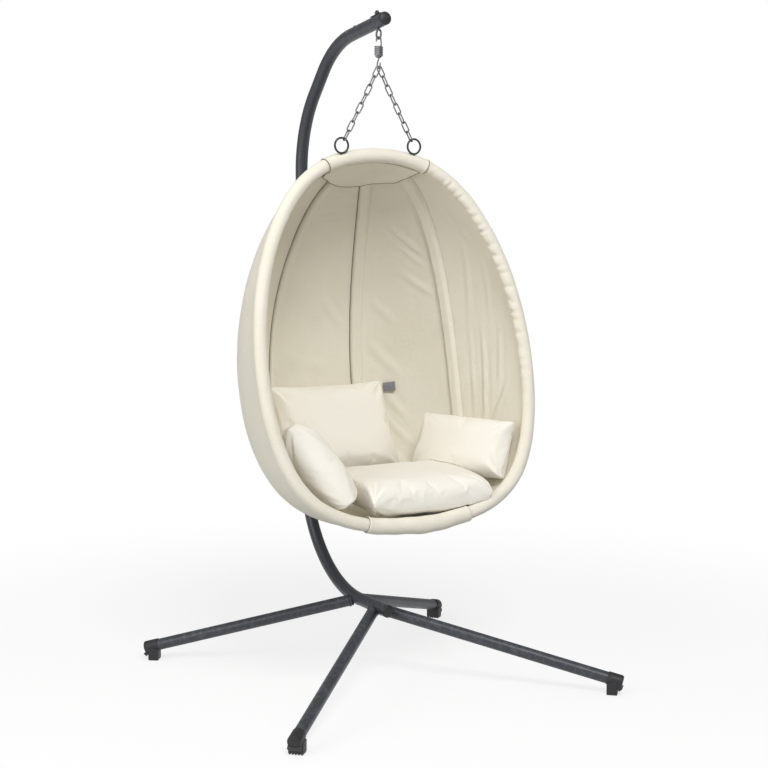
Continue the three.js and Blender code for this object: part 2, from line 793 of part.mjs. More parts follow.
const hookLine = [
  onHookAxis(0, 0, headBottom + hookHeadHeight / 2),
  onHookAxis(0, 0, neckZ - springWire),
  onHookAxis(0, hookRadius / 2, neckZ - hookShank * hookJogShares[0]),
  onHookAxis(0, hookRadius, neckZ - hookShank * hookJogShares[1]),
];
for (let i = 0; i <= hookBowSteps; i++) {
  const turn = (-i / hookBowSteps) * Math.PI;
  hookLine.push(onHookAxis(0, hookRadius * Math.cos(turn), hookBowZ + hookRadius * Math.sin(turn)));
}
hookLine.push(onHookAxis(0, -hookRadius - hookWire / 4, hookBowZ + hookTip));
const hookHead = hookAxisRod(headBottom, hookHeadHeight, hookHeadRadius);
const hookWireSolid = solid(tubeOfRings(wireRings(hookLine, hookWire / 2, boltSides)));
place("spring_hook", skin(hookWireSolid.add(solid(hookHead))), "zinc");

// Chains: oval links, each turned a quarter from the last, from the hook to the rings

const hookBottom = onHookAxis(0, 0, hookBowZ - hookRadius);
const linkAdvance = linkInnerLength - linkGap;
const linkBow = (linkWidth - linkWire) / 2;
const linkStraight = linkInnerLength + linkWire - 2 * linkBow;
const firstLinkRise = (hookWire + linkWire) / 2 + linkGap;
const lastLinkDrop = (linkWire + ringWire) / 2 + linkGap;
const allLinks = linkInnerLength + linkWire + (linksPerChain - 1) * linkAdvance;
const chainRun = allLinks - firstLinkRise - lastLinkDrop;
const linkAside = linkWire / 2 + seatGap / 2 + firstLinkRoom;
const hookSeatRadius = hookRadius - firstLinkRise;
const hookRise = hookSeatRadius - Math.sqrt(hookSeatRadius ** 2 - linkAside ** 2) + firstLinkRoom;

// The first links hang side by side, the second ones lean to the middle, and below them both
// chains swing about one line
const chains = ["left", "right"].map((side) => {
  const sign = side === "left" ? -1 : 1;
  const top = hookBottom.clone().add(new THREE.Vector3(0, -sign * linkAside, hookRise));
  const lowerReach = chainRun - 2 * linkAdvance + ringRadius;
  const lean = hookY + chainSetback - top.y;
  const lowerDepth = ringSetback - chainSetback;
  const secondLength = Math.sqrt(linkAdvance ** 2 - lean ** 2);
  const flat = [linkAdvance, secondLength, Math.sqrt(lowerReach ** 2 - lowerDepth ** 2)];
  const depths = [0, lean, lowerDepth];
  const across = (sign * ringSpacing) / 2 / (flat[0] + flat[1] + flat[2]);
  const down = -Math.sqrt(1 - across ** 2);
  const points = [top];
  flat.forEach((length, i) => {
    points.push(points[i].clone().add(new THREE.Vector3(across * length, depths[i], down * length)));
  });
  const ways = flat.map((_, i) => points[i + 1].clone().sub(points[i]).normalize());
  const swingAt = points[2].clone().addScaledVector(ways[2], -firstLinkRise);
  return { side, sign, points, ways, swingAt, ringCentre: points[3], along: ways[2] };
});

function linkGeometry(topWire, along, flatNormal) {
  const wide = along.clone().cross(flatNormal).normalize();
  const line = [];
  for (const end of [0, 1]) {
    const centre = topWire.clone().addScaledVector(along, linkBow + end * linkStraight);
    for (let i = 0; i <= linkBowSteps; i++) {
      const turn = Math.PI * (i / linkBowSteps + end);
      line.push(
        centre
          .clone()
          .addScaledVector(wide, linkBow * Math.cos(turn))
          .addScaledVector(along, -linkBow * Math.sin(turn)),
      );
    }
  }
  return tubeOfRings(ringsAlong(line, linkWire / 2, wireSides, flatNormal, true), true);
}

for (const chain of chains) {
  for (let i = 0; i < linksPerChain; i++) {
    const stretch = Math.min(i, 2);
    const along = chain.ways[stretch];
    const fromStretch = (i - stretch) * linkAdvance - firstLinkRise;
    const topWire = chain.points[stretch].clone().addScaledVector(along, fromStretch);
    const faceOn = acrossY.clone().addScaledVector(along, -along.y).normalize();
    const edgeOn = along.clone().cross(faceOn);
    const link = linkGeometry(topWire, along, i % 2 ? edgeOn : faceOn);
    place(`chain_${chain.side}_link_${i + 1}`, link, "zinc");
  }
}

// The pod's own frame: its top, down along the hoop's plane, and straight back from it

const ringZ = chains[0].ringCentre.z;
const podTop = new THREE.Vector3(0, hookY + hoopSetback, ringZ - ringLift);
const podDown = new THREE.Vector3(0, -Math.sin(podLean), -Math.cos(podLean));
const podBack = new THREE.Vector3(0, Math.cos(podLean), -Math.sin(podLean));

const hoopWidthAt = (turn) => {
  const c = Math.cos(turn);
  const shape = hoopShapeShares.reduce((sum, share, i) => sum + share * c ** i, 0);
  return hoopHalfWidth * Math.sin(turn) * shape;
};
const podDepthAt = (turn) => {
  const c = -Math.cos(turn);
  const shape = 1 + podDepthSlopeShare * c + podDepthCurveShare * c * c;
  return podDepth * Math.sin(turn) ** (2 * podDepthPower) * shape;
};

// A point of the pod: "turn" runs from top to bottom, "angle" from straight back to the sides,
// "inset" inwards
function podPoint(turn, angle, inset) {
  const down = (hoopLength / 2 - inset) * (1 - Math.cos(turn)) + inset;
  return podTop
    .clone()
    .addScaledVector(podDown, down)
    .addScaledVector(acrossX, Math.sin(angle) * hoopWidthAt(turn) * (1 - inset / hoopHalfWidth))
    .addScaledVector(podBack, Math.cos(angle) * podDepthAt(turn) * (1 - inset / podDepth));
}

// The angle at which the pod's skin comes within "reach" of the hoop's plane
function edgeAngle(turn, inset, reach) {
  const depth = podDepthAt(turn) * (1 - inset / podDepth);
  return Math.acos(Math.min(reach / depth, rimReachShare));
}

function hoopPoint(turn) {
  return podTop
    .clone()
    .addScaledVector(podDown, (hoopLength * (1 - Math.cos(turn))) / 2)
    .addScaledVector(acrossX, hoopWidthAt(turn));
}

function turnAtWidth(width, low, high) {
  for (let i = 0; i < searchSteps; i++) {
    const middle = (low + high) / 2;
    if (hoopWidthAt(middle) < width === hoopWidthAt(low) < width) low = middle;
    else high = middle;
  }
  return low;
}

// Hoop halves, joined by spigots at the top and the bottom, with the rings welded on short lugs

const hoopRadius = hoopDiameter / 2;
const hoopBore = hoopRadius - hoopWall;
const topReach = turnAtWidth(spigotReach, 0, 1);
const bottomReach = Math.PI - turnAtWidth(spigotReach, Math.PI, 2);
const hoopTurns = [0];
for (let i = 0; i <= hoopSteps; i++) {
  hoopTurns.push(topReach + ((Math.PI - topReach - bottomReach) * i) / hoopSteps);
}
hoopTurns.push(Math.PI);

function hoopStation(turn, sign) {
  const point = hoopPoint(turn);
  point.x *= sign;
  return point;
}

// A tube with a bore, open at both ends, along a line of points
function boredTube(line, radius, bore, sides, up) {
  const outer = ringsAlong(line, radius, sides, up);
  const inner = ringsAlong(line, bore, sides, up);
  return tubeOfRings([...outer, ...inner.reverse()], true);
}

// What has to stay clear of a ring and its lug
function ringRoom(chain, room) {
  const lug = rod(chain.lugFoot, chain.lugTop, lugWidth / 2 + room, boltSides);
  const contact = Math.atan2(-chain.along.z, -chain.along.x);
  const torus = new THREE.TorusGeometry(ringRadius, ringWire / 2 + room, wireSides, ringSteps)
    .rotateZ(contact)
    .rotateX(Math.PI / 2)
    .applyMatrix4(new THREE.Matrix4().setPosition(chain.ringCentre));
  return solid(lug).add(solid(torus));
}

for (const chain of chains) {
  chain.lugTop = chain.ringCentre.clone().addScaledVector(upZ, -ringRadius);
  chain.lugFoot = hoopStation(turnAtWidth(ringSpacing / 2, 0, 1), chain.sign);
  const line = hoopTurns.map((turn) => hoopStation(turn, chain.sign));
  const past = acrossX.clone().multiplyScalar(-chain.sign * overrun);
  line[0].x = 0;
  line.at(-1).x = 0;
  const wholeLine = [line[0].clone().add(past), ...line, line.at(-1).clone().add(past)];
  const halfSpace = new THREE.BoxGeometry(hoopLength, hoopLength * 2, hoopLength * 3)
    .translate((chain.sign * (hoopLength + seatGap)) / 2, 0, podTop.z);
  const tube = solid(tubeOfRings(ringsAlong(wholeLine, hoopRadius, hoopSides, podBack)));
  const bore = solid(tubeOfRings(ringsAlong(wholeLine, hoopBore, hoopSides, podBack)));
  const half = tube.add(ringRoom(chain, 0)).subtract(bore).intersect(solid(halfSpace));
  place(`hoop_${chain.side}_half`, skin(half), "coatedSteel");
}

// The hoop's axis over its top or bottom joint
function jointLine(end) {
  const [middle, side] = end === "top" ? [0, hoopTurns[1]] : [Math.PI, hoopTurns.at(-2)];
  return [hoopStation(side, -1), hoopStation(middle, 0), hoopStation(side, 1)];
}

for (const end of ["top", "bottom"]) {
  const outer = hoopBore - seatGap;
  const spigot = boredTube(jointLine(end), outer, outer - hoopWall, hoopSides, podBack);
  place(`hoop_${end}_spigot`, spigot, "zinc");
}

// Ribs: four rods, seated in a bracket behind the hoop at either end

const ribLine = (angle, from, to) => [
  podPoint(from, angle, ribInset),
  ...shellTurns.slice(1, -1).map((turn) => podPoint(turn, angle, ribInset)),
  podPoint(to, angle, ribInset),
];
const ribBores = ribAngles.map((angle) => {
  const line = ribLine(angle, ribEndTurn - boreBeyondRib, Math.PI - ribEndTurn + boreBeyondRib);
  return solid(tubeOfRings(ringsAlong(line, ribDiameter / 2 + seatGap, wireSides, acrossX)));
});
ribAngles.forEach((angle, i) => {
  const line = ribLine(angle, ribEndTurn, Math.PI - ribEndTurn);
  const rib = tubeOfRings(ringsAlong(line, ribDiameter / 2, wireSides, acrossX));
  place(`rib_rod_${i + 1}`, rib, "blackPlastic");
});

for (const [name, end] of [["upper", "top"], ["lower", "bottom"]]) {
  const turn = end === "top" ? bracketTurn : Math.PI - bracketTurn;
  const outline = Array.from({ length: bracketSteps + 1 }, (_, i) => {
    const point = podPoint(turn, Math.PI * (i / bracketSteps - 0.5), ribInset).sub(podTop);
    return new THREE.Vector2(point.x, point.dot(podBack));
  });
  const block = new THREE.ExtrudeGeometry(new THREE.Shape(outline), {
    depth: bracketBottom - bracketTop,
    bevelEnabled: false,
  });
  const start = end === "top" ? bracketTop : hoopLength - bracketBottom;
  const basis = new THREE.Matrix4().makeBasis(acrossX.clone().negate(), podBack, podDown);
  block.applyMatrix4(basis.setPosition(podTop.clone().addScaledVector(podDown, start)));
  const room = solid(tubeOfRings(ringsAlong(jointLine(end), hoopRadius + seatGap, hoopSides, podBack)));
  let bracket = solid(block).subtract(room);
  for (const bore of ribBores) bracket = bracket.subtract(bore);
  place(`${name}_rib_bracket`, skin(bracket), "blackPlastic");
}

// Fabric shell: one skin with four pockets along the ribs

function pocketReach(turn, angle) {
  const speed = Math.hypot(Math.cos(angle) * hoopWidthAt(turn), Math.sin(angle) * podDepthAt(turn));
  return Math.min(pocketHalfWidth / speed, pocketCap);
}

// Columns of a row as pairs of angle and pocket share, from one edge of the shell to the other
function shellColumns(turn, inset) {
  const edge = edgeAngle(turn, inset, hoopSleeveRadius + seatGap);
  const columns = [];
  for (const angle of ribAngles) {
    const reach = pocketReach(turn, angle);
    const outermost = Math.min(reach, (edge - Math.abs(angle)) * pocketRimShare);
    const low = angle === ribAngles[0] ? outermost : reach;
    const high = angle === ribAngles.at(-1) ? outermost : reach;
    const inner = pocketShoulderShare;
    columns.push([angle - low, 0], [angle - low * inner, 1], [angle + high * inner, 1], [angle + high, 0]);
  }
  const between = [];
  columns.forEach((column, i) => {
    between.push(column);
    const next = columns[i + 1];
    if (next && !column[1] && !next[1]) between.push([(column[0] + next[0]) / 2, 0]);
  });
  const first = between[0][0];
  const last = between.at(-1)[0];
  return [[-edge, 0], [(first - edge) / 2, 0], ...between, [(last + edge) / 2, 0], [edge, 0]];
}

function shellRow(turn, outer) {
  const plain = turn < pocketStart || turn > Math.PI - pocketStart;
  const modelTurn = Math.min(Math.max(turn, pocketStart), Math.PI - pocketStart);
  const inset = outer ? -shellProud : shellThickness - shellProud;
  const columns = shellColumns(modelTurn, inset);
  const shrink = edgeAngle(turn, inset, hoopSleeveRadius + seatGap) / columns.at(-1)[0];
  return columns.map(([angle, share]) => {
    const here = outer || plain ? inset : inset + (pocketCrest - inset) * share;
    return podPoint(turn, angle * (plain ? shrink : 1), here);
  });
}

const shellOuter = shellTurns.map((turn) => shellRow(turn, true));
const shellInner = shellTurns.map((turn) => shellRow(turn, false));
let shell = solid(sheet(shellOuter, shellInner));
for (const bore of ribBores) shell = shell.subtract(bore);
place("pod_shell", skin(shell), "fabric");

// Roof panel under the ribs, between the top and the panel seam

const roofRow = (turn, inset) => {
  const edge = edgeAngle(turn, inset, roofEdgeReach);
  const columns = shellColumns(turn, inset).slice(1, -1);
  return columns.map(([angle], i) => {
    const rim = i === 0 || i === columns.length - 1;
    return podPoint(turn, rim ? Math.sign(angle) * edge : angle, inset);
  });
};
const roofTurns = shellTurns.filter((turn) => turn >= pocketStart && turn <= roofTurn);
place(
  "roof_panel",
  sheet(
    roofTurns.map((turn) => roofRow(turn, roofInset)),
    roofTurns.map((turn) => roofRow(turn, roofInset + roofThickness)),
  ),
  "fabric",
);

// Webbing tab sewn to the inside of the shell, in one cell of its grid

function onShellCell(row, column, down, across, lift) {
  const corner = (i, j) => shellInner[row + i][column + j];
  const upper = corner(0, 0).clone().lerp(corner(0, 1), across);
  const lower = corner(1, 0).clone().lerp(corner(1, 1), across);
  const downWay = corner(1, 0).clone().sub(corner(0, 0));
  const normal = downWay.cross(corner(0, 1).clone().sub(corner(0, 0))).normalize();
  return upper.lerp(lower, down).addScaledVector(normal, lift);
}

const tabRow = shellTurns.findLastIndex((turn) => turn < tabTurn);
const tabRowAt = (down, lift) =>
  tabAcrossShares.map((across) => onShellCell(tabRow, tabColumn, down, across, lift));
const tabSheet = (lift) => tabDownShares.map((down) => tabRowAt(down, lift));
place("webbing_tab", sheet(tabSheet(tabLift), tabSheet(tabLift + tabThickness)), "webbing");

// Padded sleeves on the hoop, with room for the rings

for (const chain of chains) {
  const line = hoopTurns.slice(1, -1).map((turn) => hoopStation(turn, chain.sign));
  const tube = boredTube(line, hoopSleeveRadius, hoopRadius + sleeveLining, sleeveSides, podBack);
  place(`${chain.side}_hoop_sleeve`, skin(solid(tube).subtract(ringRoom(chain, ringClearance))), "fabric");
}

// Flaps: sheets wrapped round the sleeves at the top and the bottom, open towards the back

function flapLine(low, high) {
  const turns = hoopTurns.filter((turn) => turn >= low && turn <= high);
  const half = turns.map((turn) => hoopStation(turn, 1)).filter((point) => point.x < flapHalfWidth);
  if (low > 0) half.reverse();
  const beyond = hoopTurns.map((turn) => hoopStation(turn, 1)).find((point, i, all) => {
    const inner = half.at(-1);
    const neighbour = all[i + (low > 0 ? 1 : -1)];
    return neighbour && neighbour.distanceTo(inner) < seatGap && point.x > inner.x;
  });
  const inner = half.at(-1);
  half.push(inner.clone().lerp(beyond, (flapHalfWidth - inner.x) / (beyond.x - inner.x)));
  const mirrored = half.slice(1).map((point) => point.clone().setX(-point.x));
  return refined([...mirrored.reverse(), ...half], flapSpacing);
}

// Adds even points between those of a line, so that none lie further apart than "spacing"
function refined(line, spacing) {
  const points = [line[0]];
  for (let i = 1; i < line.length; i++) {
    const steps = Math.ceil(line[i].distanceTo(line[i - 1]) / spacing);
    for (let k = 1; k <= steps; k++) points.push(line[i - 1].clone().lerp(line[i], k / steps));
  }
  return points;
}

function flapGrid(line, lift, wave) {
  return line.map((point, i) => {
    const before = line[Math.max(i - 1, 0)];
    const after = line[Math.min(i + 1, line.length - 1)];
    const tangent = after.clone().sub(before).normalize();
    const out = tangent.cross(podBack);
    if (out.dot(point.clone().sub(podMiddle)) < 0) out.negate();
    return flapAngles.map((angle, j) => {
      const share = j / (flapAngles.length - 1);
      const ripple = 1 + Math.sin(i * flapWaveStep + share * Math.PI);
      const bulge = wave * Math.sin(share * Math.PI) * ripple;
      const radius = sleeveReach(angle) + lift + bulge / 2;
      return point
        .clone()
        .addScaledVector(out, radius * Math.cos(angle))
        .addScaledVector(podBack, radius * Math.sin(angle));
    });
  });
}

// How far the sleeve's outside, with a fit's gap, lies from the hoop's axis
function sleeveReach(angle) {
  const step = (2 * Math.PI) / sleeveSides;
  const within = (((angle % step) + step) % step) - step / 2;
  return (hoopSleeveRadius * Math.cos(step / 2) + seatGap) / Math.cos(within);
}

const podMiddle = podTop.clone().addScaledVector(podDown, hoopLength / 2);
const topLine = flapLine(0, Math.PI / 2);
const bottomLine = flapLine(Math.PI / 2, Math.PI);
let topFlap = solid(sheet(flapGrid(topLine, 0, 0), flapGrid(topLine, flapThickness, 0)));
for (const chain of chains) topFlap = topFlap.subtract(ringRoom(chain, ringClearance));
place("top_flap", skin(topFlap), "fabric");
const bottomFlap = sheet(
  flapGrid(bottomLine, 0, bottomFlapWave),
  flapGrid(bottomLine, flapThickness, bottomFlapWave),
);
place("bottom_flap", bottomFlap, "fabric");

// Cushions: crowned, with sides drawn in between the corners and a thin welted edge

function cushionGeometry(cushion) {
  const [width, height, thickness] = [cushion.width, cushion.height, cushion.thickness].map(
    ({ share, of }) => share * podSizes[of],
  );
  const grids = [1, -1].map((face) =>
    Array.from({ length: cushionSteps + 1 }, (_, i) =>
      Array.from({ length: cushionSteps + 1 }, (__, j) => {
        const u = Math.sin(((2 * i) / cushionSteps - 1) * (Math.PI / 2));
        const v = Math.sin(((2 * j) / cushionSteps - 1) * (Math.PI / 2));
        const flat = (1 - u ** cushionFlatPower) * (1 - v ** cushionFlatPower);
        const crown = flat ** cushionCrownPower;
        const half = (cushionWelt + (thickness - cushionWelt) * crown) / 2;
        return new THREE.Vector3(
          (width / 2) * u * (1 - cushion.drawShare * (1 - v * v)),
          (height / 2) * v * (1 - cushion.drawShare * (1 - u * u)),
          face * half + cushion.bowShare * thickness * u ** cushionBowPower,
        );
      }),
    ),
  );
  const { lean, yaw, roll } = cushion.turns;
  const place = podTop
    .clone()
    .addScaledVector(acrossX, cushion.placeShares.across * podSizes.across)
    .addScaledVector(podBack, cushion.placeShares.back * podSizes.back)
    .addScaledVector(podDown, cushion.placeShares.down * podSizes.down);
  return sheet(grids[0], grids[1])
    .rotateZ(THREE.MathUtils.degToRad(roll))
    .rotateX(THREE.MathUtils.degToRad(lean))
    .rotateZ(THREE.MathUtils.degToRad(yaw))
    .translate(...place.toArray());
}

// Moves a geometry one way until it would touch what it rests on, and leaves a gap
function settled(geometry, way, rests) {
  const movedBy = (distance) => {
    const offset = way.clone().multiplyScalar(distance);
    return geometry.clone().translate(offset.x, offset.y, offset.z);
  };
  let clear = -settleRoom;
  let blocked = settleRoom;
  for (let i = 0; i < settleSteps; i++) {
    const middle = (clear + blocked) / 2;
    const moved = solid(movedBy(middle));
    if (rests.some((rest) => moved.intersect(rest).volume() > 0)) blocked = middle;
    else clear = middle;
  }
  return movedBy(clear - settleGap);
}

const restNames = ["pod_shell", "left_hoop_sleeve", "right_hoop_sleeve", "bottom_flap"];
const rests = restNames.map((name) => solid(group.getObjectByName(name).geometry));
for (const cushion of cushions) {
  const way = new THREE.Vector3(...cushion.settleWay).normalize();
  const geometry = settled(cushionGeometry(cushion), way, rests);
  place(cushion.name, geometry, "cushion");
  rests.push(solid(geometry));
}

export default group;
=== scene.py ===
import bpy
import bmesh
import json
from math import acos, atan2, copysign, cos, degrees, exp, hypot, pi, radians, sin, sqrt
from mathutils import Matrix, Vector, noise
from mathutils.kdtree import KDTree

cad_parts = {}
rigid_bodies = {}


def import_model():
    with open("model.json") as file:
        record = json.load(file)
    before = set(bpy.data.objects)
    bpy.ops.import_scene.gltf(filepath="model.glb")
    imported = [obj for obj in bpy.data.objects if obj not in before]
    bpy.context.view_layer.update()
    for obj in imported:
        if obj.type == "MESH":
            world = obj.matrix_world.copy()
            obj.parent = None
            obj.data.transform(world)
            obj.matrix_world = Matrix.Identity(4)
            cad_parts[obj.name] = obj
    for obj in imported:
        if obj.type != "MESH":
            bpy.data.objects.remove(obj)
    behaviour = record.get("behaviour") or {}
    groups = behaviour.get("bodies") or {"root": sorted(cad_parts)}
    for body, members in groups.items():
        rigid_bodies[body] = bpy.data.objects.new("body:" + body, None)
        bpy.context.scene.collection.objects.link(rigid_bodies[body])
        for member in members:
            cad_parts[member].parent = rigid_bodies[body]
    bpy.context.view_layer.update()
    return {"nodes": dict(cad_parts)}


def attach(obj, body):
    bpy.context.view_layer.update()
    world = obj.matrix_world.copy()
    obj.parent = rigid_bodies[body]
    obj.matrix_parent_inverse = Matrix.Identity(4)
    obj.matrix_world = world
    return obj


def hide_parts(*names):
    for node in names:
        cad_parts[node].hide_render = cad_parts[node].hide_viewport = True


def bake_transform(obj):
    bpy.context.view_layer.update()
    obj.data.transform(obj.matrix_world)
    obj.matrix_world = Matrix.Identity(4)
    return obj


# A hanging pod chair on a C-shaped tube stand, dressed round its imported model. Metres.

for old in list(bpy.data.objects):
    bpy.data.objects.remove(old)
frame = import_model()
scene = bpy.context.scene
print("frame loaded")

acrossX = Vector((1, 0, 0))
acrossY = Vector((0, 1, 0))
upZ = Vector((0, 0, 1))

# a group's sockets are plain values unless their label is named here
socketKinds = {"Vector": "Vector", "Normal": "Vector", "Base": "Color", "Dull": "Color", "Worn": "Color",
               "Color": "Color"}


def newGroup(name, inputs, outputs):
    group = bpy.data.node_groups.new(name, "ShaderNodeTree")
    for labels, way in ((inputs, "INPUT"), (outputs, "OUTPUT")):
        for label in labels:
            kind = "NodeSocket" + socketKinds.get(label, "Float")
            socket = group.interface.new_socket(label, in_out=way, socket_type=kind)
            if way == "INPUT" and inputs[label] is not None:
                socket.default_value = inputs[label]
    return group, group.nodes.new("NodeGroupInput").outputs, group.nodes.new("NodeGroupOutput")


def setInputs(tree, node, values):
    for key, value in values.items():
        if isinstance(value, bpy.types.NodeSocket):
            tree.links.new(value, node.inputs[key])
        else:
            node.inputs[key].default_value = value
    return node


def add(tree, kind, values=None, **settings):
    node = tree.nodes.new(kind)
    for key, value in settings.items():
        setattr(node, key, value)
    return setInputs(tree, node, values or {})


def math2(tree, operation, a, b=0.0):
    return add(tree, "ShaderNodeMath", {0: a, 1: b}, operation=operation).outputs[0]


def ramp(tree, value, low, high, toLow=0.0, toHigh=1.0):
    return add(tree, "ShaderNodeMapRange",
               {"Value": value, "From Min": low, "From Max": high, "To Min": toLow, "To Max": toHigh},
               interpolation_type="SMOOTHSTEP").outputs[0]


def mixColor(tree, share, a, b):
    return add(tree, "ShaderNodeMix", {0: share, 6: a, 7: b}, data_type="RGBA").outputs[2]


def clouds(tree, vector, scale, detail, **more):
    values = {"Vector": vector, "Scale": scale, "Detail": detail, **more}
    return add(tree, "ShaderNodeTexNoise", values).outputs[0]


def bumped(tree, height, strength, distance, **more):
    values = {"Height": height, "Strength": strength, "Distance": distance, **more}
    return add(tree, "ShaderNodeBump", values).outputs[0]


def use(tree, group, values):
    return add(tree, "ShaderNodeGroup", values, node_tree=group).outputs


def shade(red, green, blue):
    # from the colour as seen (0 to 255) to linear light
    def linear(v):
        v = v / 255
        return v / 12.92 if v <= 0.04045 else ((v + 0.055) / 1.055) ** 2.4
    return (linear(red), linear(green), linear(blue), 1)


def makeWeave():
    # fine plain weave: threads cross in all three directions, so it needs no unwrapping
    group, given, out = newGroup("plainWeave", {
        "Vector": None, "Pitch": 0.0014, "Height": 0.3, "Normal": None}, ("Normal", "Thread"))
    turns = math2(group, "DIVIDE", 2 * pi, given["Pitch"])
    bend = math2(group, "MULTIPLY", clouds(group, given["Vector"], scale=45.0, detail=2.0), 2.2)
    parts = add(group, "ShaderNodeSeparateXYZ", {0: given["Vector"]}).outputs
    waves = [math2(group, "SINE", math2(group, "ADD", math2(group, "MULTIPLY", part, turns), bend))
             for part in parts]
    pairs = [math2(group, "MULTIPLY", waves[i], waves[(i + 1) % 3]) for i in range(3)]
    total = math2(group, "ADD", math2(group, "ADD", pairs[0], pairs[1]), pairs[2])
    slub = clouds(group, given["Vector"], scale=900.0, detail=3.0)
    height = math2(group, "ADD", math2(group, "MULTIPLY", total, 0.5), slub)
    relief = bumped(group, height, given["Height"], distance=0.0004, Normal=given["Normal"])
    setInputs(group, out, {"Normal": relief, "Thread": ramp(group, height, -0.6, 1.6)})
    return group


def makeCreases():
    # broad soft creases of cloth that has been handled
    group, given, out = newGroup("softCreases", {
        "Vector": None, "Scale": 14.0, "Strength": 0.3, "Normal": None}, ("Normal", "Fold"))
    broad = clouds(group, given["Vector"], given["Scale"], detail=3.0, Roughness=0.5, Distortion=0.8)
    finer = math2(group, "MULTIPLY", given["Scale"], 2.6)
    fold = clouds(group, given["Vector"], finer, detail=2.0, Distortion=1.6)
    ridge = math2(group, "ABSOLUTE", math2(group, "SUBTRACT", fold, 0.5))
    height = math2(group, "ADD", broad, math2(group, "MULTIPLY", ridge, 0.7))
    relief = bumped(group, height, given["Strength"], distance=0.006, Normal=given["Normal"])
    setInputs(group, out, {"Normal": relief, "Fold": ramp(group, height, 0.3, 0.9)})
    return group


def makeTone():
    # uneven dye, a little dust that gathers in broad patches, and painted shade between the threads
    group, given, out = newGroup("clothTone", {
        "Vector": None, "Base": None, "Dull": None, "Thread": 0.5, "Amount": 0.5}, ("Color", "Roughness"))
    broad = clouds(group, given["Vector"], scale=3.2, detail=4.0)
    fine = clouds(group, given["Vector"], scale=160.0, detail=2.0)
    dull = math2(group, "ADD", ramp(group, broad, 0.35, 0.75, 0, 0.6), ramp(group, fine, 0.4, 0.75, 0, 0.25))
    # painted shade: the cloth turns duller where the weave lies low, between the threads
    dull = math2(group, "ADD", dull, math2(group, "MULTIPLY", given["Thread"], -0.25))
    share = math2(group, "MULTIPLY", math2(group, "MAXIMUM", dull, 0.0), given["Amount"])
    setInputs(group, out, {"Color": mixColor(group, share, given["Base"], given["Dull"]),
                           "Roughness": ramp(group, fine, 0.3, 0.7, 0.82, 0.96)})
    return group


def makeCoat():
    # orange-peel grain, faint clouding and worn edges of painted or moulded parts
    group, given, out = newGroup("coatGrain", {
        "Vector": None, "Base": None, "Worn": None, "Grain": 900.0, "Depth": 0.12, "Rough": 0.45},
        ("Color", "Roughness", "Normal"))
    grain = clouds(group, given["Vector"], given["Grain"], detail=2.0)
    cloud = clouds(group, given["Vector"], scale=7.0, detail=5.0)
    scuff = clouds(group, given["Vector"], scale=70.0, detail=6.0)
    edge = add(group, "ShaderNodeNewGeometry").outputs["Pointiness"]
    worn = math2(group, "MULTIPLY", ramp(group, edge, 0.53, 0.6), ramp(group, scuff, 0.45, 0.65))
    tone = ramp(group, cloud, 0.3, 0.7, 0.0, 0.04)
    lifted = mixColor(group, tone, given["Base"], given["Worn"])
    uneven = ramp(group, cloud, 0.3, 0.7, -0.02, 0.03)
    setInputs(group, out, {
        "Color": mixColor(group, math2(group, "MULTIPLY", worn, 0.5), lifted, given["Worn"]),
        "Roughness": math2(group, "ADD", given["Rough"], uneven),
        "Normal": bumped(group, grain, given["Depth"], distance=0.0005)})
    return group


weave, creases, clothTone, coatGrain = makeWeave(), makeCreases(), makeTone(), makeCoat()


def blankMaterial(name):
    material = bpy.data.materials.new(name)
    material.use_nodes = True
    tree = material.node_tree
    place = tree.nodes.new("ShaderNodeTexCoord").outputs["Object"]
    return material, tree, tree.nodes["Principled BSDF"], place


def clothMaterial(name, look):
    material, tree, surface, place = blankMaterial(name)
    soft = use(tree, creases, {"Vector": place, "Scale": look["creaseScale"], "Strength": look["creases"]})
    woven = use(tree, weave, {"Vector": place, "Pitch": look["pitch"], "Height": look["weave"],
                              "Normal": soft["Normal"]})
    tone = use(tree, clothTone, {"Vector": place, "Base": look["base"], "Dull": look["dull"],
                                 "Thread": woven["Thread"], "Amount": look["uneven"]})
    color = tone["Color"]
    # painted shade: where the cloth lies in the slits at the rib pockets' edges, the colour is mixed towards
    # a dark colour, by the attribute set on the shell
    if "slitShadeColor" in look:
        seam = add(tree, "ShaderNodeAttribute", attribute_name="seam").outputs["Fac"]
        color = mixColor(tree, seam, color, look["slitShadeColor"])
    setInputs(tree, surface, {
        "Base Color": color, "Roughness": tone["Roughness"], "Normal": woven["Normal"],
        "Sheen Weight": look["sheen"], "Sheen Roughness": 0.5, "Specular IOR Level": 0.2})
    return material


def coatMaterial(name, look):
    material, tree, surface, place = blankMaterial(name)
    coat = use(tree, coatGrain, {"Vector": place, "Base": look["base"], "Worn": look["worn"],
                                 "Grain": look["grain"], "Depth": look["depth"], "Rough": look["rough"]})
    setInputs(tree, surface, {
        "Base Color": coat["Color"], "Roughness": coat["Roughness"], "Normal": coat["Normal"],
        "Metallic": look.get("metal", 0), "Coat Weight": look.get("coat", 0), "Coat Roughness": 0.35})
    return material


def webbingMaterial(name, look):
    # ribbed strap: narrow cords along it, crossed by fine rows, with painted shade in the grooves between the
    # cords
    material, tree, surface, place = blankMaterial(name)
    parts = add(tree, "ShaderNodeSeparateXYZ", {0: place}).outputs
    cords = math2(tree, "SINE", math2(tree, "MULTIPLY", parts[2], look["cords"]))
    rows = math2(tree, "SINE", math2(tree, "MULTIPLY", parts[0], look["rows"]))
    height = math2(tree, "ADD", math2(tree, "ABSOLUTE", cords), math2(tree, "MULTIPLY", rows, 0.4))
    tone = use(tree, clothTone, {"Vector": place, "Base": look["base"], "Dull": look["dull"], "Amount": 0.8})
    setInputs(tree, surface, {
        # painted shade: the low grooves take the dull colour, the raised cords the cloth's tone
        "Base Color": mixColor(tree, ramp(tree, height, 0.0, 0.5), look["dull"], tone["Color"]),
        "Roughness": tone["Roughness"], "Sheen Weight": 0.1,
        "Normal": bumped(tree, height, 0.6, distance=0.0006)})
    return material


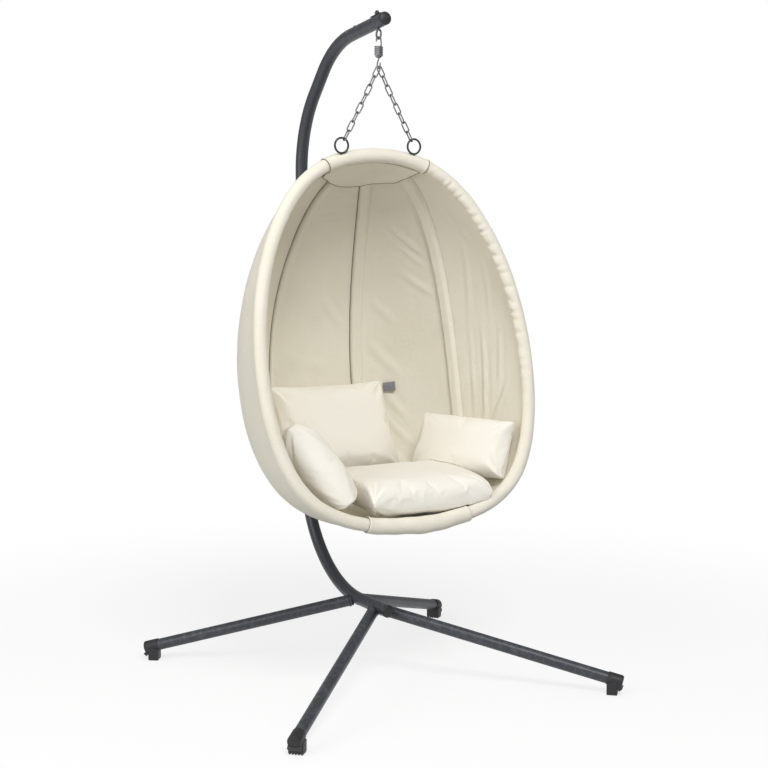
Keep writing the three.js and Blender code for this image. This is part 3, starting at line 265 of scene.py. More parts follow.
looks = {
    "podCloth": {
        "make": clothMaterial, "slot": "pod_fabric", "base": shade(240, 235, 220),
        "dull": shade(222, 215, 194), "uneven": 0.55, "creaseScale": 9.0, "creases": 0.24,
        # the darkest colour of this look, at the end of the next line, is painted shade for the slits at the
        # rib pockets' edges
        "pitch": 0.0016, "weave": 0.3, "sheen": 0.12, "slitShadeColor": shade(58, 54, 40)},
    "cushionCloth": {
        "make": clothMaterial, "slot": "cushion_fabric", "base": shade(250, 246, 236),
        "dull": shade(236, 229, 212), "uneven": 0.45, "creaseScale": 13.0, "creases": 0.2,
        "pitch": 0.0015, "weave": 0.3, "sheen": 0.12},
    # dark cords: painted shade of the gaps at the flap ends, along the top flap's back edge and under the
    # roof panel's hem
    "edgeThread": {
        "make": clothMaterial, "slot": "pod_fabric", "base": shade(138, 128, 102),
        "dull": shade(98, 90, 70), "uneven": 0.8, "creaseScale": 60.0, "creases": 0.2,
        "pitch": 0.0009, "weave": 0.5, "sheen": 0.1},
    "webbing": {
        "make": webbingMaterial, "slot": "tab_webbing", "base": shade(150, 148, 158),
        "dull": shade(92, 90, 98), "cords": 1500.0, "rows": 4200.0},
    "standPaint": {
        "make": coatMaterial, "slot": "stand_paint", "base": shade(53, 56, 63),
        "worn": shade(84, 88, 96), "grain": 1100.0, "depth": 0.03, "rough": 0.42, "coat": 0.1},
    "hoopPaint": {
        "make": coatMaterial, "slot": "hoop_paint", "base": shade(44, 42, 44),
        "worn": shade(104, 100, 100), "grain": 1300.0, "depth": 0.1, "rough": 0.4, "coat": 0.1},
    "blackPlastic": {
        "make": coatMaterial, "slot": "black_plastic", "base": shade(36, 35, 38),
        "worn": shade(78, 77, 80), "grain": 1500.0, "depth": 0.2, "rough": 0.5},
    "zincSteel": {
        "make": coatMaterial, "slot": "zinc_steel", "base": shade(122, 122, 126),
        "worn": shade(176, 176, 176), "grain": 700.0, "depth": 0.08, "rough": 0.44, "metal": 0.7},
}
finishes = {name: look["make"](name, look) for name, look in looks.items()}


def dress(obj, finish):
    obj.data.materials.clear()
    obj.data.materials.append(finishes[finish])


def asPiece(obj, finish, body, *nodes, slot=None):
    # nodes are the imported model's pieces that it stands for
    dress(obj, finish)
    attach(obj, body)
    if nodes:
        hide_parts(*nodes)


def inScene(name, data):
    obj = bpy.data.objects.new(name, data)
    scene.collection.objects.link(obj)
    return obj


def meshObject(name, bm, smoothAngle=40):
    mesh = bpy.data.meshes.new(name)
    bm.to_mesh(mesh)
    bm.free()
    obj = inScene(name, mesh)
    mesh.shade_smooth()
    if smoothAngle:
        mesh.set_sharp_from_angle(angle=radians(smoothAngle))
    return obj


def turnOut(bm):
    # makes all faces look outwards
    bmesh.ops.recalc_face_normals(bm, faces=bm.faces)
    return bm


def cleaned(bm):
    bmesh.ops.remove_doubles(bm, verts=bm.verts, dist=1e-6)
    return turnOut(bm)


def gridVerts(bm, columns, rows, size=1):
    return bmesh.ops.create_grid(bm, x_segments=columns, y_segments=rows, size=size)["verts"]


def skin(bm, columns, rows, shape, side):
    # a grid whose points shape(side, vert, column, row) puts in place; returns those of its border
    rim = {}
    for vert in gridVerts(bm, columns, rows):
        column, row = (round((value + 1) / 2 * count) for value, count in zip(vert.co, (columns, rows)))
        shape(side, vert, column, row)
        if row in (0, rows) or column in (0, columns):
            rim[(row, column)] = vert
    return rim


def tube(name, points, radius, closed=False, widths=None, detail=5):
    # a wire or tube along points, as a mesh
    curve = bpy.data.curves.new(name + "Line", "CURVE")
    curve.dimensions = "3D"
    curve.bevel_depth = radius
    curve.bevel_resolution = detail
    curve.use_fill_caps = not closed
    spline = curve.splines.new("POLY")
    spline.points.add(len(points) - 1)
    for i, point in enumerate(points):
        spline.points[i].co = (*point, 1)
        spline.points[i].radius = widths[i] if widths else 1
    spline.use_cyclic_u = closed
    holder = inScene(name + "Line", curve)
    bpy.context.view_layer.update()
    graph = bpy.context.evaluated_depsgraph_get()
    mesh = bpy.data.meshes.new_from_object(holder.evaluated_get(graph))
    bpy.data.objects.remove(holder)
    bpy.data.curves.remove(curve)
    bm = bmesh.new()
    bm.from_mesh(mesh)
    bpy.data.meshes.remove(mesh)
    return meshObject(name, cleaned(bm))


def arc(centre, first, second, radius, start, stop, steps):
    # from one angle to another, turning from the first way towards the second
    turns = [start + (stop - start) * i / steps for i in range(steps + 1)]
    return [centre + (first * cos(a) + second * sin(a)) * radius for a in turns]


def circle(centre, first, second, radius, steps):
    return arc(centre, first, second, radius, 0, 2 * pi, steps)[:-1]


def joined(name, objects):
    bm = bmesh.new()
    for obj in objects:
        bm.from_mesh(obj.data)
        bpy.data.objects.remove(obj)
    return meshObject(name, bm)


def applyModifiers(obj):
    graph = bpy.context.evaluated_depsgraph_get()
    mesh = bpy.data.meshes.new_from_object(obj.evaluated_get(graph))
    obj.modifiers.clear()
    obj.data = mesh


def thicken(obj, thickness, offset):
    wall = obj.modifiers.new("wall", "SOLIDIFY")
    wall.thickness, wall.offset = thickness, offset
    applyModifiers(obj)


def lathe(name, profile, origin, axis, steps=48, smoothAngle=35):
    # profile of (radius, distance along the axis) turned about the axis
    bm = bmesh.new()
    turn = upZ.rotation_difference(axis).to_matrix()
    verts = [bm.verts.new(origin + turn @ Vector((radius, 0, height))) for radius, height in profile]
    edges = [bm.edges.new(pair) for pair in zip(verts, verts[1:])]
    bmesh.ops.spin(bm, geom=verts + edges, cent=origin, axis=axis, angle=2 * pi, steps=steps,
                   use_merge=True)
    return meshObject(name, cleaned(bm), smoothAngle)


def bevel(bm, edges, width, segments):
    return bmesh.ops.bevel(bm, geom=edges, offset=width, segments=segments, affect="EDGES", profile=0.5,
                           material=-1)


def beveledBox(bm, size, matrix, width, segments):
    made = bmesh.ops.create_cube(bm, size=1)["verts"]
    bmesh.ops.scale(bm, vec=Vector(size), verts=made)
    done = bevel(bm, list({edge for vert in made for edge in vert.link_edges}), width, segments)
    verts = {vert for face in done["faces"] for vert in face.verts} | {v for v in made if v.is_valid}
    bmesh.ops.transform(bm, matrix=matrix, verts=list(verts))


def closeRims(bm, skins, columns, rows):
    # joins the borders of two grids of points, each given by (row, column)
    border = ([(0, c) for c in range(columns)] + [(r, columns) for r in range(rows)]
              + [(rows, c) for c in range(columns, 0, -1)] + [(r, 0) for r in range(rows, 0, -1)])
    first, second = skins
    for here, after in zip(border, border[1:] + border[:1]):
        bm.faces.new((first[here], first[after], second[after], second[here]))
    turnOut(bm)


stand = {
    "pole": 0.019, "hubHeight": 0.215, "hubFront": -0.075, "lowerRun": 0.17,
    "lowerBend": (0.36, 89), "upright": 0.933, "shoulder": (0.350, 43.2), "shoulderRun": 0.089,
    "crown": (0.300, 39.1), "armRun": 0.004, "armTube": 0.2, "jointShare": 0.2, "bendSteps": 40,
    "foot": (0.516, 0.500, 0.041), "leg": 0.0175, "frontRoot": -0.002, "rearRoot": 0.118, "rootHeight": 0.211,
    "seamSlack": 0.0004, "seamRim": 0.0007, "seamEase": 0.94,
}


def bendPath(start, angle, moves):
    # points in the plane of the pole, with even steps round each bend
    points = [start]

    def go(length):
        points.append(points[-1] + Vector((0, cos(angle), sin(angle))) * length)

    for kind, value in moves:
        if kind == "run":
            go(value)
            continue
        radius, turn = value
        step = radians(turn) / stand["bendSteps"]
        for _ in range(stand["bendSteps"]):
            angle += step / 2
            go(2 * radius * sin(step / 2))
            angle += step / 2
    return points, angle


def easedEnds(points, atStart, atEnd):
    # a tube's cut ends are broken off a little, so that a joint reads as a fine line
    line, widths = list(points), [1] * len(points)
    for wanted, first, second in ((atStart, 0, 1), (atEnd, -1, -2)):
        if not wanted:
            continue
        way = (line[second] - line[first]).normalized()
        end = line[first] + way * stand["seamSlack"]
        rim = end + way * stand["seamRim"]
        spot = 1 if first == 0 else len(line) - 1
        line[first] = end
        widths[first] = stand["seamEase"]
        line.insert(spot, rim)
        widths.insert(spot, 1)
    return line, widths


def makePole():
    share = stand["upright"] * stand["jointShare"]
    lower, angle = bendPath(Vector((0, stand["hubFront"], stand["hubHeight"])), 0, [
        ("run", stand["lowerRun"]), ("bend", stand["lowerBend"]), ("run", share)])
    middle, angle = bendPath(lower[-1], angle, [
        ("run", stand["upright"] - share), ("bend", stand["shoulder"]), ("run", stand["shoulderRun"]),
        ("bend", stand["crown"]), ("run", stand["armRun"])])
    arm, angle = bendPath(middle[-1], angle, [("run", stand["armTube"])])
    for name, points, ends, node in (("poleLower", lower, (False, True), "pole_lower_tube"),
                                     ("poleMiddle", middle, (True, True), "pole_middle_tube"),
                                     ("poleArm", arm, (True, False), "pole_arm_tube")):
        line, widths = easedEnds(points, *ends)
        pole = tube(name, line, stand["pole"], widths=widths, detail=10)
        asPiece(pole, "standPaint", "stand", node)
    return lower, arm, angle


def legEnds():
    halfX, halfY, height = stand["foot"]
    for name in ("front_left", "front_right", "rear_left", "rear_right"):
        front, left = name.startswith("front"), name.endswith("left")
        root = Vector((0, stand["frontRoot"] if front else stand["rearRoot"], stand["rootHeight"]))
        foot = Vector((-halfX if left else halfX, -halfY if front else halfY, height))
        yield name, root, foot, (foot - root).normalized()


legShape = {
    "from": 0.012, "beyond": 0.018, "beadAt": 0.0185,
    "bead": [(0.0, 0.0), (0.0172, 0.0), (0.0192, 0.0012), (0.0198, 0.0035), (0.0188, 0.0058),
             (0.0174, 0.0068), (0.0, 0.0068)],
}
footShape = {
    "cap": 0.0196, "length": 0.046, "width": 0.042, "sole": 0.031, "top": 0.037, "edge": 0.0025,
    "shoulder": (0.012, 0.0378, 0.022), "ahead": 0.0035, "shoulderHeight": 0.0245, "lean": -38,
    "shoulderEdge": 0.002, "treads": 5, "tread": 0.0048, "treadDepth": 0.0025, "treadEdge": 0.0008,
    "treadShort": 0.001,
}


def footBlocks():
    # size, place, lean and edge of each block under the cap: sole, sloping shoulder and treads
    half, deep, width = footShape["length"] / 2, footShape["treadDepth"], footShape["width"]
    middle = footShape["sole"] / 2 - half
    tall = footShape["top"] - deep
    yield (footShape["sole"], width, tall), (middle, 0, deep + tall / 2), 0, footShape["edge"], 3
    ahead = footShape["sole"] - half + footShape["ahead"]
    yield (footShape["shoulder"], (ahead, 0, footShape["shoulderHeight"]), footShape["lean"],
           footShape["shoulderEdge"], 3)
    bar = (footShape["sole"] - footShape["treadShort"], footShape["tread"], deep * 2)
    for i in range(footShape["treads"]):
        aside = (i - (footShape["treads"] - 1) / 2) * width / footShape["treads"]
        yield bar, (middle, aside, deep), 0, footShape["treadEdge"], 2


def makeLegs():
    half, cap = footShape["length"] / 2, footShape["cap"]
    capProfile = [(0.0, half + 0.0002), (0.009, half), (cap - 0.0045, half - 0.0004),
                  (cap - 0.0012, half - 0.0022), (cap, half - 0.006), (cap, -half + 0.0012),
                  (cap - 0.0006, -half), (0.0172, -half), (0.0, -half)]
    for name, root, foot, along in legEnds():
        side = name.replace("_", " ").title().replace(" ", "")
        line = [root + along * legShape["from"], foot + along * legShape["beyond"]]
        leg = tube("leg" + side, line, stand["leg"], detail=10)
        bead = lathe("bead" + side, legShape["bead"], root + along * legShape["beadAt"], along)
        asPiece(joined("leg" + side, [leg, bead]), "standPaint", "stand", "leg_" + name)
        flat = Vector((along.x, along.y, 0)).normalized()
        turn = Matrix((flat, flat.cross(upZ), upZ)).transposed().to_4x4()
        base = Matrix.Translation((foot.x, foot.y, 0)) @ turn
        bm = bmesh.new()
        for size, place, lean, width, segments in footBlocks():
            tilt = Matrix.Rotation(radians(lean), 4, "Y")
            beveledBox(bm, size, base @ Matrix.Translation(place) @ tilt, width, segments)
        made = [lathe("footCap" + side, capProfile, foot, along), meshObject("footBlock" + side, bm)]
        asPiece(joined("foot" + side, made), "blackPlastic", "stand", "foot_" + name)


plugProfile = [(0.0, -0.02), (0.0158, -0.02), (0.0165, -0.018), (0.0172, 0.0002), (0.0186, 0.0003),
               (0.0191, 0.0009), (0.0191, 0.0026), (0.0187, 0.0036)]
plugDome = (0.0182, 0.0034, 0.0056)  # radius, start and rise


def quarter(radius, start, rise, steps=8):
    # the profile of a dome, from its rim up to its middle
    turns = [i / steps * pi / 2 for i in range(steps + 1)]
    return [(radius * cos(turn), start + rise * sin(turn)) for turn in turns]


def makePlug(name, node, end, outward):
    profile = plugProfile + quarter(*plugDome)[1:]
    asPiece(lathe(name, profile, end, outward), "blackPlastic", "stand", node)


lowerLine, armLine, armAngle = makePole()
armWay = Vector((0, cos(armAngle), sin(armAngle)))
armUp = Vector((0, sin(armAngle), -cos(armAngle)))  # square to the arm
if armUp.z < 0:
    armUp.negate()
makeLegs()
makePlug("armPlug", "arm_end_plug", armLine[-1], armWay)
makePlug("basePlug", "base_end_plug", lowerLine[0], Vector((0, -1, 0)))
print("stand done")

hanger = {
    "setforward": 0.022, "eyeWire": 0.006, "eye": 0.013, "nut": (0.007, 0.006, 0.005), "nutEdge": 0.0007,
    "washer": (0.046, 0.022, 0.003), "spring": 0.0107, "springWire": 0.004, "springPitch": 0.0046,
    "springCurls": 6, "neckRadius": 0.005, "neckTurns": 0.4, "springHook": 0.0075, "springHookRise": 0.018,
    "turnSteps": 40, "ringSteps": 48, "bowSteps": 16, "tipSteps": 24, "easeIn": 0.12, "eased": 9,
    "hookWire": 0.004, "hook": 0.0078, "hookShank": 0.0232,
    "hookTip": 0.008, "hookJogs": (0.42, 0.7), "hookHead": (0.0039, 0.003), "collar": (0.0043, 0.0011),
    "boltBeyond": 0.002, "boltEdge": 0.0006, "gap": 0.0003,
}
hookY = -hanger["setforward"]
gap = hanger["gap"]
eyeDrop = stand["pole"] + gap + hanger["eye"] + hanger["eyeWire"] / 2
eyeAlong = (armLine[0].y - eyeDrop * armUp.y - hookY) / -armWay.y
eyeSeat = armLine[0] + armWay * eyeAlong
eyeCentre = eyeSeat - armUp * eyeDrop
eyePivot = eyeCentre - upZ * hanger["eye"]


def onHook(x, y, z):
    return Vector((x, hookY + y, z))


def makeEye():
    wire = hanger["eyeWire"] / 2
    ring = circle(eyeCentre, armUp, armWay, hanger["eye"], hanger["ringSteps"])
    inner = stand["pole"] + gap
    saddleTop = inner + hanger["washer"][2]
    boltTop = saddleTop + gap + hanger["nut"][1] + hanger["boltBeyond"]
    heights = (hanger["eye"] - eyeDrop, boltTop - hanger["boltEdge"], boltTop)
    line = [eyeSeat + armUp * height for height in heights]
    shank = tube("eyeShank", line, wire, widths=[1, 1, 0.7])
    bolt = joined("eyeBolt", [tube("eyeRing", ring, wire, closed=True), shank])
    asPiece(bolt, "zincSteel", "stand", "eye_bolt")
    # saddle washer: a strip bent over the tube
    bm = bmesh.new()
    length, width, thick = hanger["washer"]
    for vert in gridVerts(bm, 16, 10, 0.5):
        turn = vert.co.y * width / inner
        vert.co = (eyeSeat + armWay * vert.co.x * length
                   + (armUp * cos(turn) + acrossX * sin(turn)) * inner)
    turnOut(bm)
    if sum(face.normal.dot(armUp) for face in bm.faces) < 0:
        bmesh.ops.reverse_faces(bm, faces=bm.faces)
    washer = meshObject("saddleWasher", bm)
    thicken(washer, thick, 1)
    edge = washer.modifiers.new("edge", "BEVEL")
    edge.width, edge.segments, edge.limit_method, edge.angle_limit = hanger["nutEdge"], 3, "ANGLE", 0.8
    applyModifiers(washer)
    asPiece(washer, "blackPlastic", "stand", "saddle_washer", slot="zinc_steel")
    # crowned nut
    radius, height, crown = hanger["nut"]
    base = eyeSeat + armUp * (saddleTop + gap)
    bm = bmesh.new()
    bmesh.ops.create_cone(bm, cap_ends=True, segments=6, radius1=radius, radius2=radius, depth=height)
    bevel(bm, list(bm.edges), hanger["nutEdge"], 2)
    turn = upZ.rotation_difference(armUp).to_matrix().to_4x4()
    bmesh.ops.transform(bm, matrix=Matrix.Translation(base + armUp * height / 2) @ turn, verts=bm.verts)
    hexagon = meshObject("nutBody", bm, 30)
    profile = [(radius * 0.86, 0.0)] + quarter(radius * 0.8, 0, crown)
    dome = lathe("nutDome", profile, base + armUp * height, armUp)
    asPiece(joined("eyeNut", [hexagon, dome]), "blackPlastic", "stand", "eye_nut", slot="zinc_steel")


springTop = eyePivot.z + hanger["eyeWire"] / 2 + hanger["springWire"] / 2 + gap
bowZ = springTop - hanger["springHook"]
coilTop = bowZ - hanger["springHookRise"]
neckZ = coilTop - (hanger["springCurls"] + 1) * hanger["springPitch"]


def makeSpring():
    radius, wire, curls = hanger["spring"], hanger["springWire"], hanger["springCurls"]
    bow, steps = hanger["springHook"], hanger["bowSteps"]
    between = (bow + radius) / 2
    line = [onHook(-bow, 0, bowZ - wire * 1.5), *arc(onHook(0, 0, bowZ), acrossX, upZ, bow, pi, 0, steps),
            onHook(bow, 0, coilTop + hanger["springHookRise"] * 0.5),
            onHook(between, 0, coilTop + wire * 1.05)]
    for i in range(int((curls + 1 + hanger["neckTurns"]) * hanger["turnSteps"])):
        turns = (i + 0.5) / hanger["turnSteps"]
        here = radius + (hanger["neckRadius"] - radius) * min(max(turns - curls, 0), 1)
        if turns < hanger["easeIn"]:
            here = between + (radius - between) * turns / hanger["easeIn"]
        z = coilTop - min(turns, curls + 1) * hanger["springPitch"]
        line.append(onHook(here * cos(turns * 2 * pi), here * sin(turns * 2 * pi), z))
    # eased where the hook turns into the first curl
    for _ in range(3):
        eased = list(line)
        for i in range(steps + 1, steps + 1 + hanger["eased"]):
            eased[i] = (line[i - 1] + line[i] * 2 + line[i + 1]) / 4
        line = eased
    spring = tube("spring", line, wire / 2, detail=3)
    dress(spring, "zincSteel")
    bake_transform(spring)
    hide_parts("suspension_spring")


collarBottom = neckZ + hanger["springWire"] / 2 + gap
headBottom = collarBottom + hanger["collar"][1] + gap
hookBowZ = neckZ - hanger["hookShank"]


def makeLowerHook():
    radius, height = hanger["collar"]
    bore = hanger["hookWire"] / 2 + gap
    profile = [(bore, 0.0), (radius - 0.0003, 0.0), (radius, 0.0003), (radius, height - 0.0003),
               (radius - 0.0003, height), (bore, height), (bore, 0.0)]
    collar = lathe("hookCollar", profile, onHook(0, 0, collarBottom), upZ)
    asPiece(collar, "zincSteel", "collar", "hook_collar")
    reach, tip, wire = hanger["hook"], hanger["hookTip"], hanger["hookWire"]
    jogs = [neckZ - hanger["hookShank"] * share for share in hanger["hookJogs"]]
    line = smoothLine([onHook(0, 0, headBottom + 0.0015), onHook(0, 0, neckZ - hanger["springWire"]),
                       onHook(0, reach / 2, jogs[0]), onHook(0, reach, jogs[1]),
                       onHook(0, reach, hookBowZ)], 10)
    line = [*line[:-1], *arc(onHook(0, 0, hookBowZ), acrossY, upZ, reach, 0, -pi, hanger["tipSteps"]),
            onHook(0, -reach - wire / 8, hookBowZ + tip * 0.5), onHook(0, -reach - wire / 4, hookBowZ + tip)]
    widths = [1] * (len(line) - 1) + [0.75]
    head, tall = hanger["hookHead"]
    profile = [(0.0, 0.0), (head - 0.0004, 0.0), (head, 0.0004), (head, tall - 0.001), (head - 0.001, tall),
               (0.0, tall)]
    top = lathe("hookHead", profile, onHook(0, 0, headBottom), upZ)
    hook = joined("lowerHook", [tube("hookWireLine", line, wire / 2, widths=widths), top])
    asPiece(hook, "zincSteel", "hook", "spring_hook")


def smoothLine(points, steps):
    # an even curve through the points
    line = []
    ends = [points[0] * 2 - points[1], *points, points[-1] * 2 - points[-2]]
    for i in range(1, len(ends) - 2):
        a, b, c, d = ends[i - 1:i + 3]
        for k in range(steps):
            t = k / steps
            line.append(((b * 2) + (c - a) * t + (a * 2 - b * 5 + c * 4 - d) * t * t
                         + (b * 3 - a - c * 3 + d) * t ** 3) / 2)
    line.append(points[-1].copy())
    return line


makeEye()
makeSpring()
makeLowerHook()


chainShape = {
    "gap": 0.0004, "wire": 0.004, "width": 0.018, "inner": 0.0299, "count": 8, "room": 0.0002,
    "ringWire": 0.006, "ring": 0.0215, "spacing": 0.24, "ringSetback": 0.003, "setback": 0.0006,
    "bowSteps": 14, "ringSteps": 64,
}
advance = chainShape["inner"] - chainShape["gap"]
linkBow = (chainShape["width"] - chainShape["wire"]) / 2
linkStraight = chainShape["inner"] + chainShape["wire"] - 2 * linkBow
firstRise = (hanger["hookWire"] + chainShape["wire"]) / 2 + chainShape["gap"]
lastDrop = (chainShape["wire"] + chainShape["ringWire"]) / 2 + chainShape["gap"]
chainRun = (chainShape["inner"] + chainShape["wire"] + (chainShape["count"] - 1) * advance
            - firstRise - lastDrop)


def chainPath(sign):
    aside = chainShape["wire"] / 2 + gap / 2 + chainShape["room"]
    bow = hanger["hook"] - firstRise
    rise = bow - sqrt(bow ** 2 - aside ** 2) + chainShape["room"]
    top = onHook(0, 0, hookBowZ - hanger["hook"]) + Vector((0, -sign * aside, rise))
    lowerReach = chainRun - 2 * advance + chainShape["ring"]
    lean = hookY + chainShape["setback"] - top.y
    depth = chainShape["ringSetback"] - chainShape["setback"]
    flat = [advance, sqrt(advance ** 2 - lean ** 2), sqrt(lowerReach ** 2 - depth ** 2)]
    across = sign * chainShape["spacing"] / 2 / sum(flat)
    down = -sqrt(1 - across ** 2)
    points = [top]
    for length, back in zip(flat, (0, lean, depth)):
        points.append(points[-1] + Vector((across * length, back, down * length)))
    ways = [(b - a).normalized() for a, b in zip(points, points[1:])]
    return points, ways


def makeChains():
    for side, sign in (("left", -1), ("right", 1)):
        points, ways = chainPath(sign)
        for i in range(chainShape["count"]):
            stretch = min(i, 2)
            along = ways[stretch]
            top = points[stretch] + along * ((i - stretch) * advance - firstRise)
            faceOn = (acrossY - along * along.y).normalized()
            normal = along.cross(faceOn) if i % 2 else faceOn
            wide = along.cross(normal).normalized()
            line = []
            for end in (0, 1):
                centre = top + along * (linkBow + end * linkStraight)
                line += arc(centre, wide, -along, linkBow, pi * end, pi * (end + 1),
                            chainShape["bowSteps"])
            name = f"chain{side.title()}Link{i + 1}"
            link = tube(name, line, chainShape["wire"] / 2, closed=True, detail=3)
            asPiece(link, "zincSteel", "hook" if i < 2 else "chains", f"chain_{side}_link_{i + 1}")
        chainEnds[side] = points[3]


chainEnds = {}
makeChains()
print("hanger and chains done")


# the pod: an egg-shaped hoop that leans back at the top, and the shell behind it

pod = {
    "lean": radians(13.44), "length": 1.0733, "halfWidth": 0.4321, "depth": 0.56, "depthPower": 0.674,
    "slopeShare": 0.204, "curveShare": -0.168,
    "widthShares": (1, -0.0988, 0.1775, -0.1041, 0.0241, -0.0201, 0.2034),
    "hoop": 0.0095, "lug": 0.003, "halfGap": 0.0002, "ringLift": 0.0263, "setback": 0.021,
    "ribs": (-58, -20, 20, 58), "pocketHalf": 0.021, "pocketCap": 16, "widest": 0.97, "steps": 120,
}
podTop = Vector((0, hookY + pod["setback"], chainEnds["left"].z - pod["ringLift"]))
podDown = Vector((0, -sin(pod["lean"]), -cos(pod["lean"])))
podBack = Vector((0, cos(pod["lean"]), -sin(pod["lean"])))
podMiddle = podTop + podDown * pod["length"] / 2


def hoopWidth(turn):
    c = cos(turn)
    return pod["halfWidth"] * sin(turn) * sum(s * c ** i for i, s in enumerate(pod["widthShares"]))


def podDepth(turn):
    c = -cos(turn)
    power = max(sin(turn), 0) ** pod["depthPower"]
    return pod["depth"] * power * (1 + pod["slopeShare"] * c + pod["curveShare"] * c * c)


def podPoint(turn, angle, inset):
    # turn runs from top to bottom, angle from straight back to the sides
    down = (pod["length"] / 2 - inset) * (1 - cos(turn)) + inset
    return (podTop + podDown * down
            + acrossX * (sin(angle) * hoopWidth(turn) * (1 - inset / pod["halfWidth"]))
            + podBack * (cos(angle) * podDepth(turn) * (1 - inset / pod["depth"])))


def hoopPoint(turn, sign):
    point = podTop + podDown * (pod["length"] * (1 - cos(turn)) / 2)
    return point + acrossX * sign * hoopWidth(turn)


def edgeAngle(turn, inset, reach):
    # how far round the cloth goes before it is as near as reach to the hoop's plane
    depth = podDepth(turn) * (1 - inset / pod["depth"])
    return acos(min(reach / depth, pod["widest"]))


def pocketReach(turn, angle):
    speed = hypot(cos(angle) * hoopWidth(turn), sin(angle) * podDepth(turn))
    return min(pod["pocketHalf"] / max(speed, 1e-6), radians(pod["pocketCap"]))


def turnAtWidth(width, low, high):
    rising = hoopWidth(low) < width
    for _ in range(40):
        middle = (low + high) / 2
        if (hoopWidth(middle) < width) == rising:
            low = middle
        else:
            high = middle
    return low


def makeHoop():
    # each half has its hanging ring welded on with a short lug
    turns = [i / pod["steps"] * pi for i in range(pod["steps"] + 1)]
    for side, sign in (("left", -1), ("right", 1)):
        line = [hoopPoint(turn, sign) for turn in turns]
        line[0].x = line[-1].x = sign * pod["halfGap"]
        bar = tube("hoopBar", line, pod["hoop"])
        centre = chainEnds[side]
        ring = circle(centre, acrossX, upZ, chainShape["ring"], chainShape["ringSteps"])
        loop = tube("hoopRing", ring, chainShape["ringWire"] / 2, closed=True, detail=4)
        foot = hoopPoint(turnAtWidth(chainShape["spacing"] / 2, 0, 1), sign)
        lug = tube("hoopLug", [foot, centre - upZ * chainShape["ring"]], pod["lug"])
        asPiece(joined("hoop" + side.title(), [bar, loop, lug]), "hoopPaint", "pod", f"hoop_{side}_half")


makeHoop()


shell = {
    "rows": 190, "columns": (24, 16, 36, 16, 44, 16, 40, 16, 34), "inner": 0.0012, "outer": -0.0036,
    "crest": 0.0150, "topTurn": 1.2, "bottomTurn": 178.8, "plainFrom": 5, "plainOver": 6,
    # how strongly painted shade darkens the two edges of each rib's pocket, by the segment of columns
    "lines": {1: (0.3, 0.3), 3: (1.0, 0.12), 5: (1.0, 0.12), 7: (0.85, 0.25)},
    "lineWidth": 0.05, "lineDepth": 0.0015, "outerLine": 0.3, "outerDepth": 0.003, "drawnFlat": 0.0032,
    "lap": 0.16, "stitched": 0.3, "creaseGain": 1.35, "drape": ((7, 0.0016), (17, 0.0008)),
    "outerDrape": 0.8, "ripple": 0.0008, "edgeRoom": 0.8,
    "span": pod["length"] / 2,  # metres for one radian down the pod, near its middle
    "tuck": 0.0125,  # how far behind the hoop's plane its edges end, inside the sleeves
    # creases in degrees: from (down, round) to (down, round), then depth and half width in millimetres
    "creases": [
        ((43, 35), (57, 51), 3.2, 9), ((52, 40), (61, 51), 2.6, 8), ((62, 40), (71, 53), 2.4, 9),
        ((38, 27), (38, 41), 2.0, 9), ((84, 25), (97, 38), 1.8, 13), ((70, 26), (78, 36), 1.4, 11),
        ((39, -12), (37, 12), 2.0, 11), ((49, -9), (46, 14), 1.8, 10), ((67, 3), (79, 15), 2.0, 12),
        ((58, -14), (55, 4), 1.4, 12), ((86, -15), (92, 10), 1.2, 16), ((31, -14), (30, 10), 1.6, 10),
        ((84, 66.4), (118, 64.8), 4.2, 6), ((84, 72), (122, 68.6), 5.2, 7), ((103, 81), (119, 71.5), 4.4, 6),
        ((86, 80), (106, 76), 3.4, 8), ((57, 73), (82, 67), 2.6, 9), ((62, 81), (84, 76), 2.4, 9),
        ((40, 70), (58, 78), 2.0, 9), ((36, 66), (52, 72), 1.8, 8),
        ((96, 26), (112, 38), 2.2, 12), ((106, 26), (124, 40), 2.4, 12), ((116, 24), (130, 34), 2.0, 12),
        ((84, -10), (112, 6), 1.8, 18), ((98, -16), (118, -4), 1.6, 16), ((70, -48), (92, -34), 1.6, 14),
    ],
}
creaseForm = {"near": 0.12, "ends": 0.25, "sides": 3, "fade": 0.42, "shoulder": 0.55, "shoulderAt": 1.7}


def segmentBreaks(turn):
    edge = edgeAngle(turn, 0, shell["tuck"])
    breaks = [-edge]
    for rib in pod["ribs"]:
        middle = radians(rib)
        reach = pocketReach(turn, middle)
        outermost = min(reach, (edge - abs(middle)) * shell["edgeRoom"])
        breaks.append(middle - (outermost if rib == pod["ribs"][0] else reach))
        breaks.append(middle + (outermost if rib == pod["ribs"][-1] else reach))
    breaks.append(edge)
    return breaks


def creaseDepth(turn, angle, width, depth):
    # metres that the cloth is drawn in by creases here
    drawn = 0.0
    for (t0, a0), (t1, a1), deep, half in shellCreases:
        if not (min(t0, t1) - creaseForm["near"] < turn < max(t0, t1) + creaseForm["near"]):
            continue
        speed = hypot(cos(angle) * width, sin(angle) * depth)
        along = (shell["span"] * (t1 - t0), speed * (a1 - a0))
        here = (shell["span"] * (turn - t0), speed * (angle - a0))
        size = hypot(*along)
        reach = (here[0] * along[0] + here[1] * along[1]) / size ** 2
        off = abs(here[0] * along[1] - here[1] * along[0]) / size / half
        if -creaseForm["ends"] < reach < 1 + creaseForm["ends"] and off < creaseForm["sides"]:
            fade = exp(-((reach - 0.5) / creaseForm["fade"]) ** 4)
            shoulder = creaseForm["shoulder"] * exp(-(off - creaseForm["shoulderAt"]) ** 2)
            drawn += deep * fade * (exp(-off ** 2) - shoulder)
    return drawn


shellCreases = [((radians(a), radians(b)), (radians(c), radians(d)),
                 deep * shell["creaseGain"] / 1000, half / 1000)
                for (a, b), (c, d), deep, half in shell["creases"]]


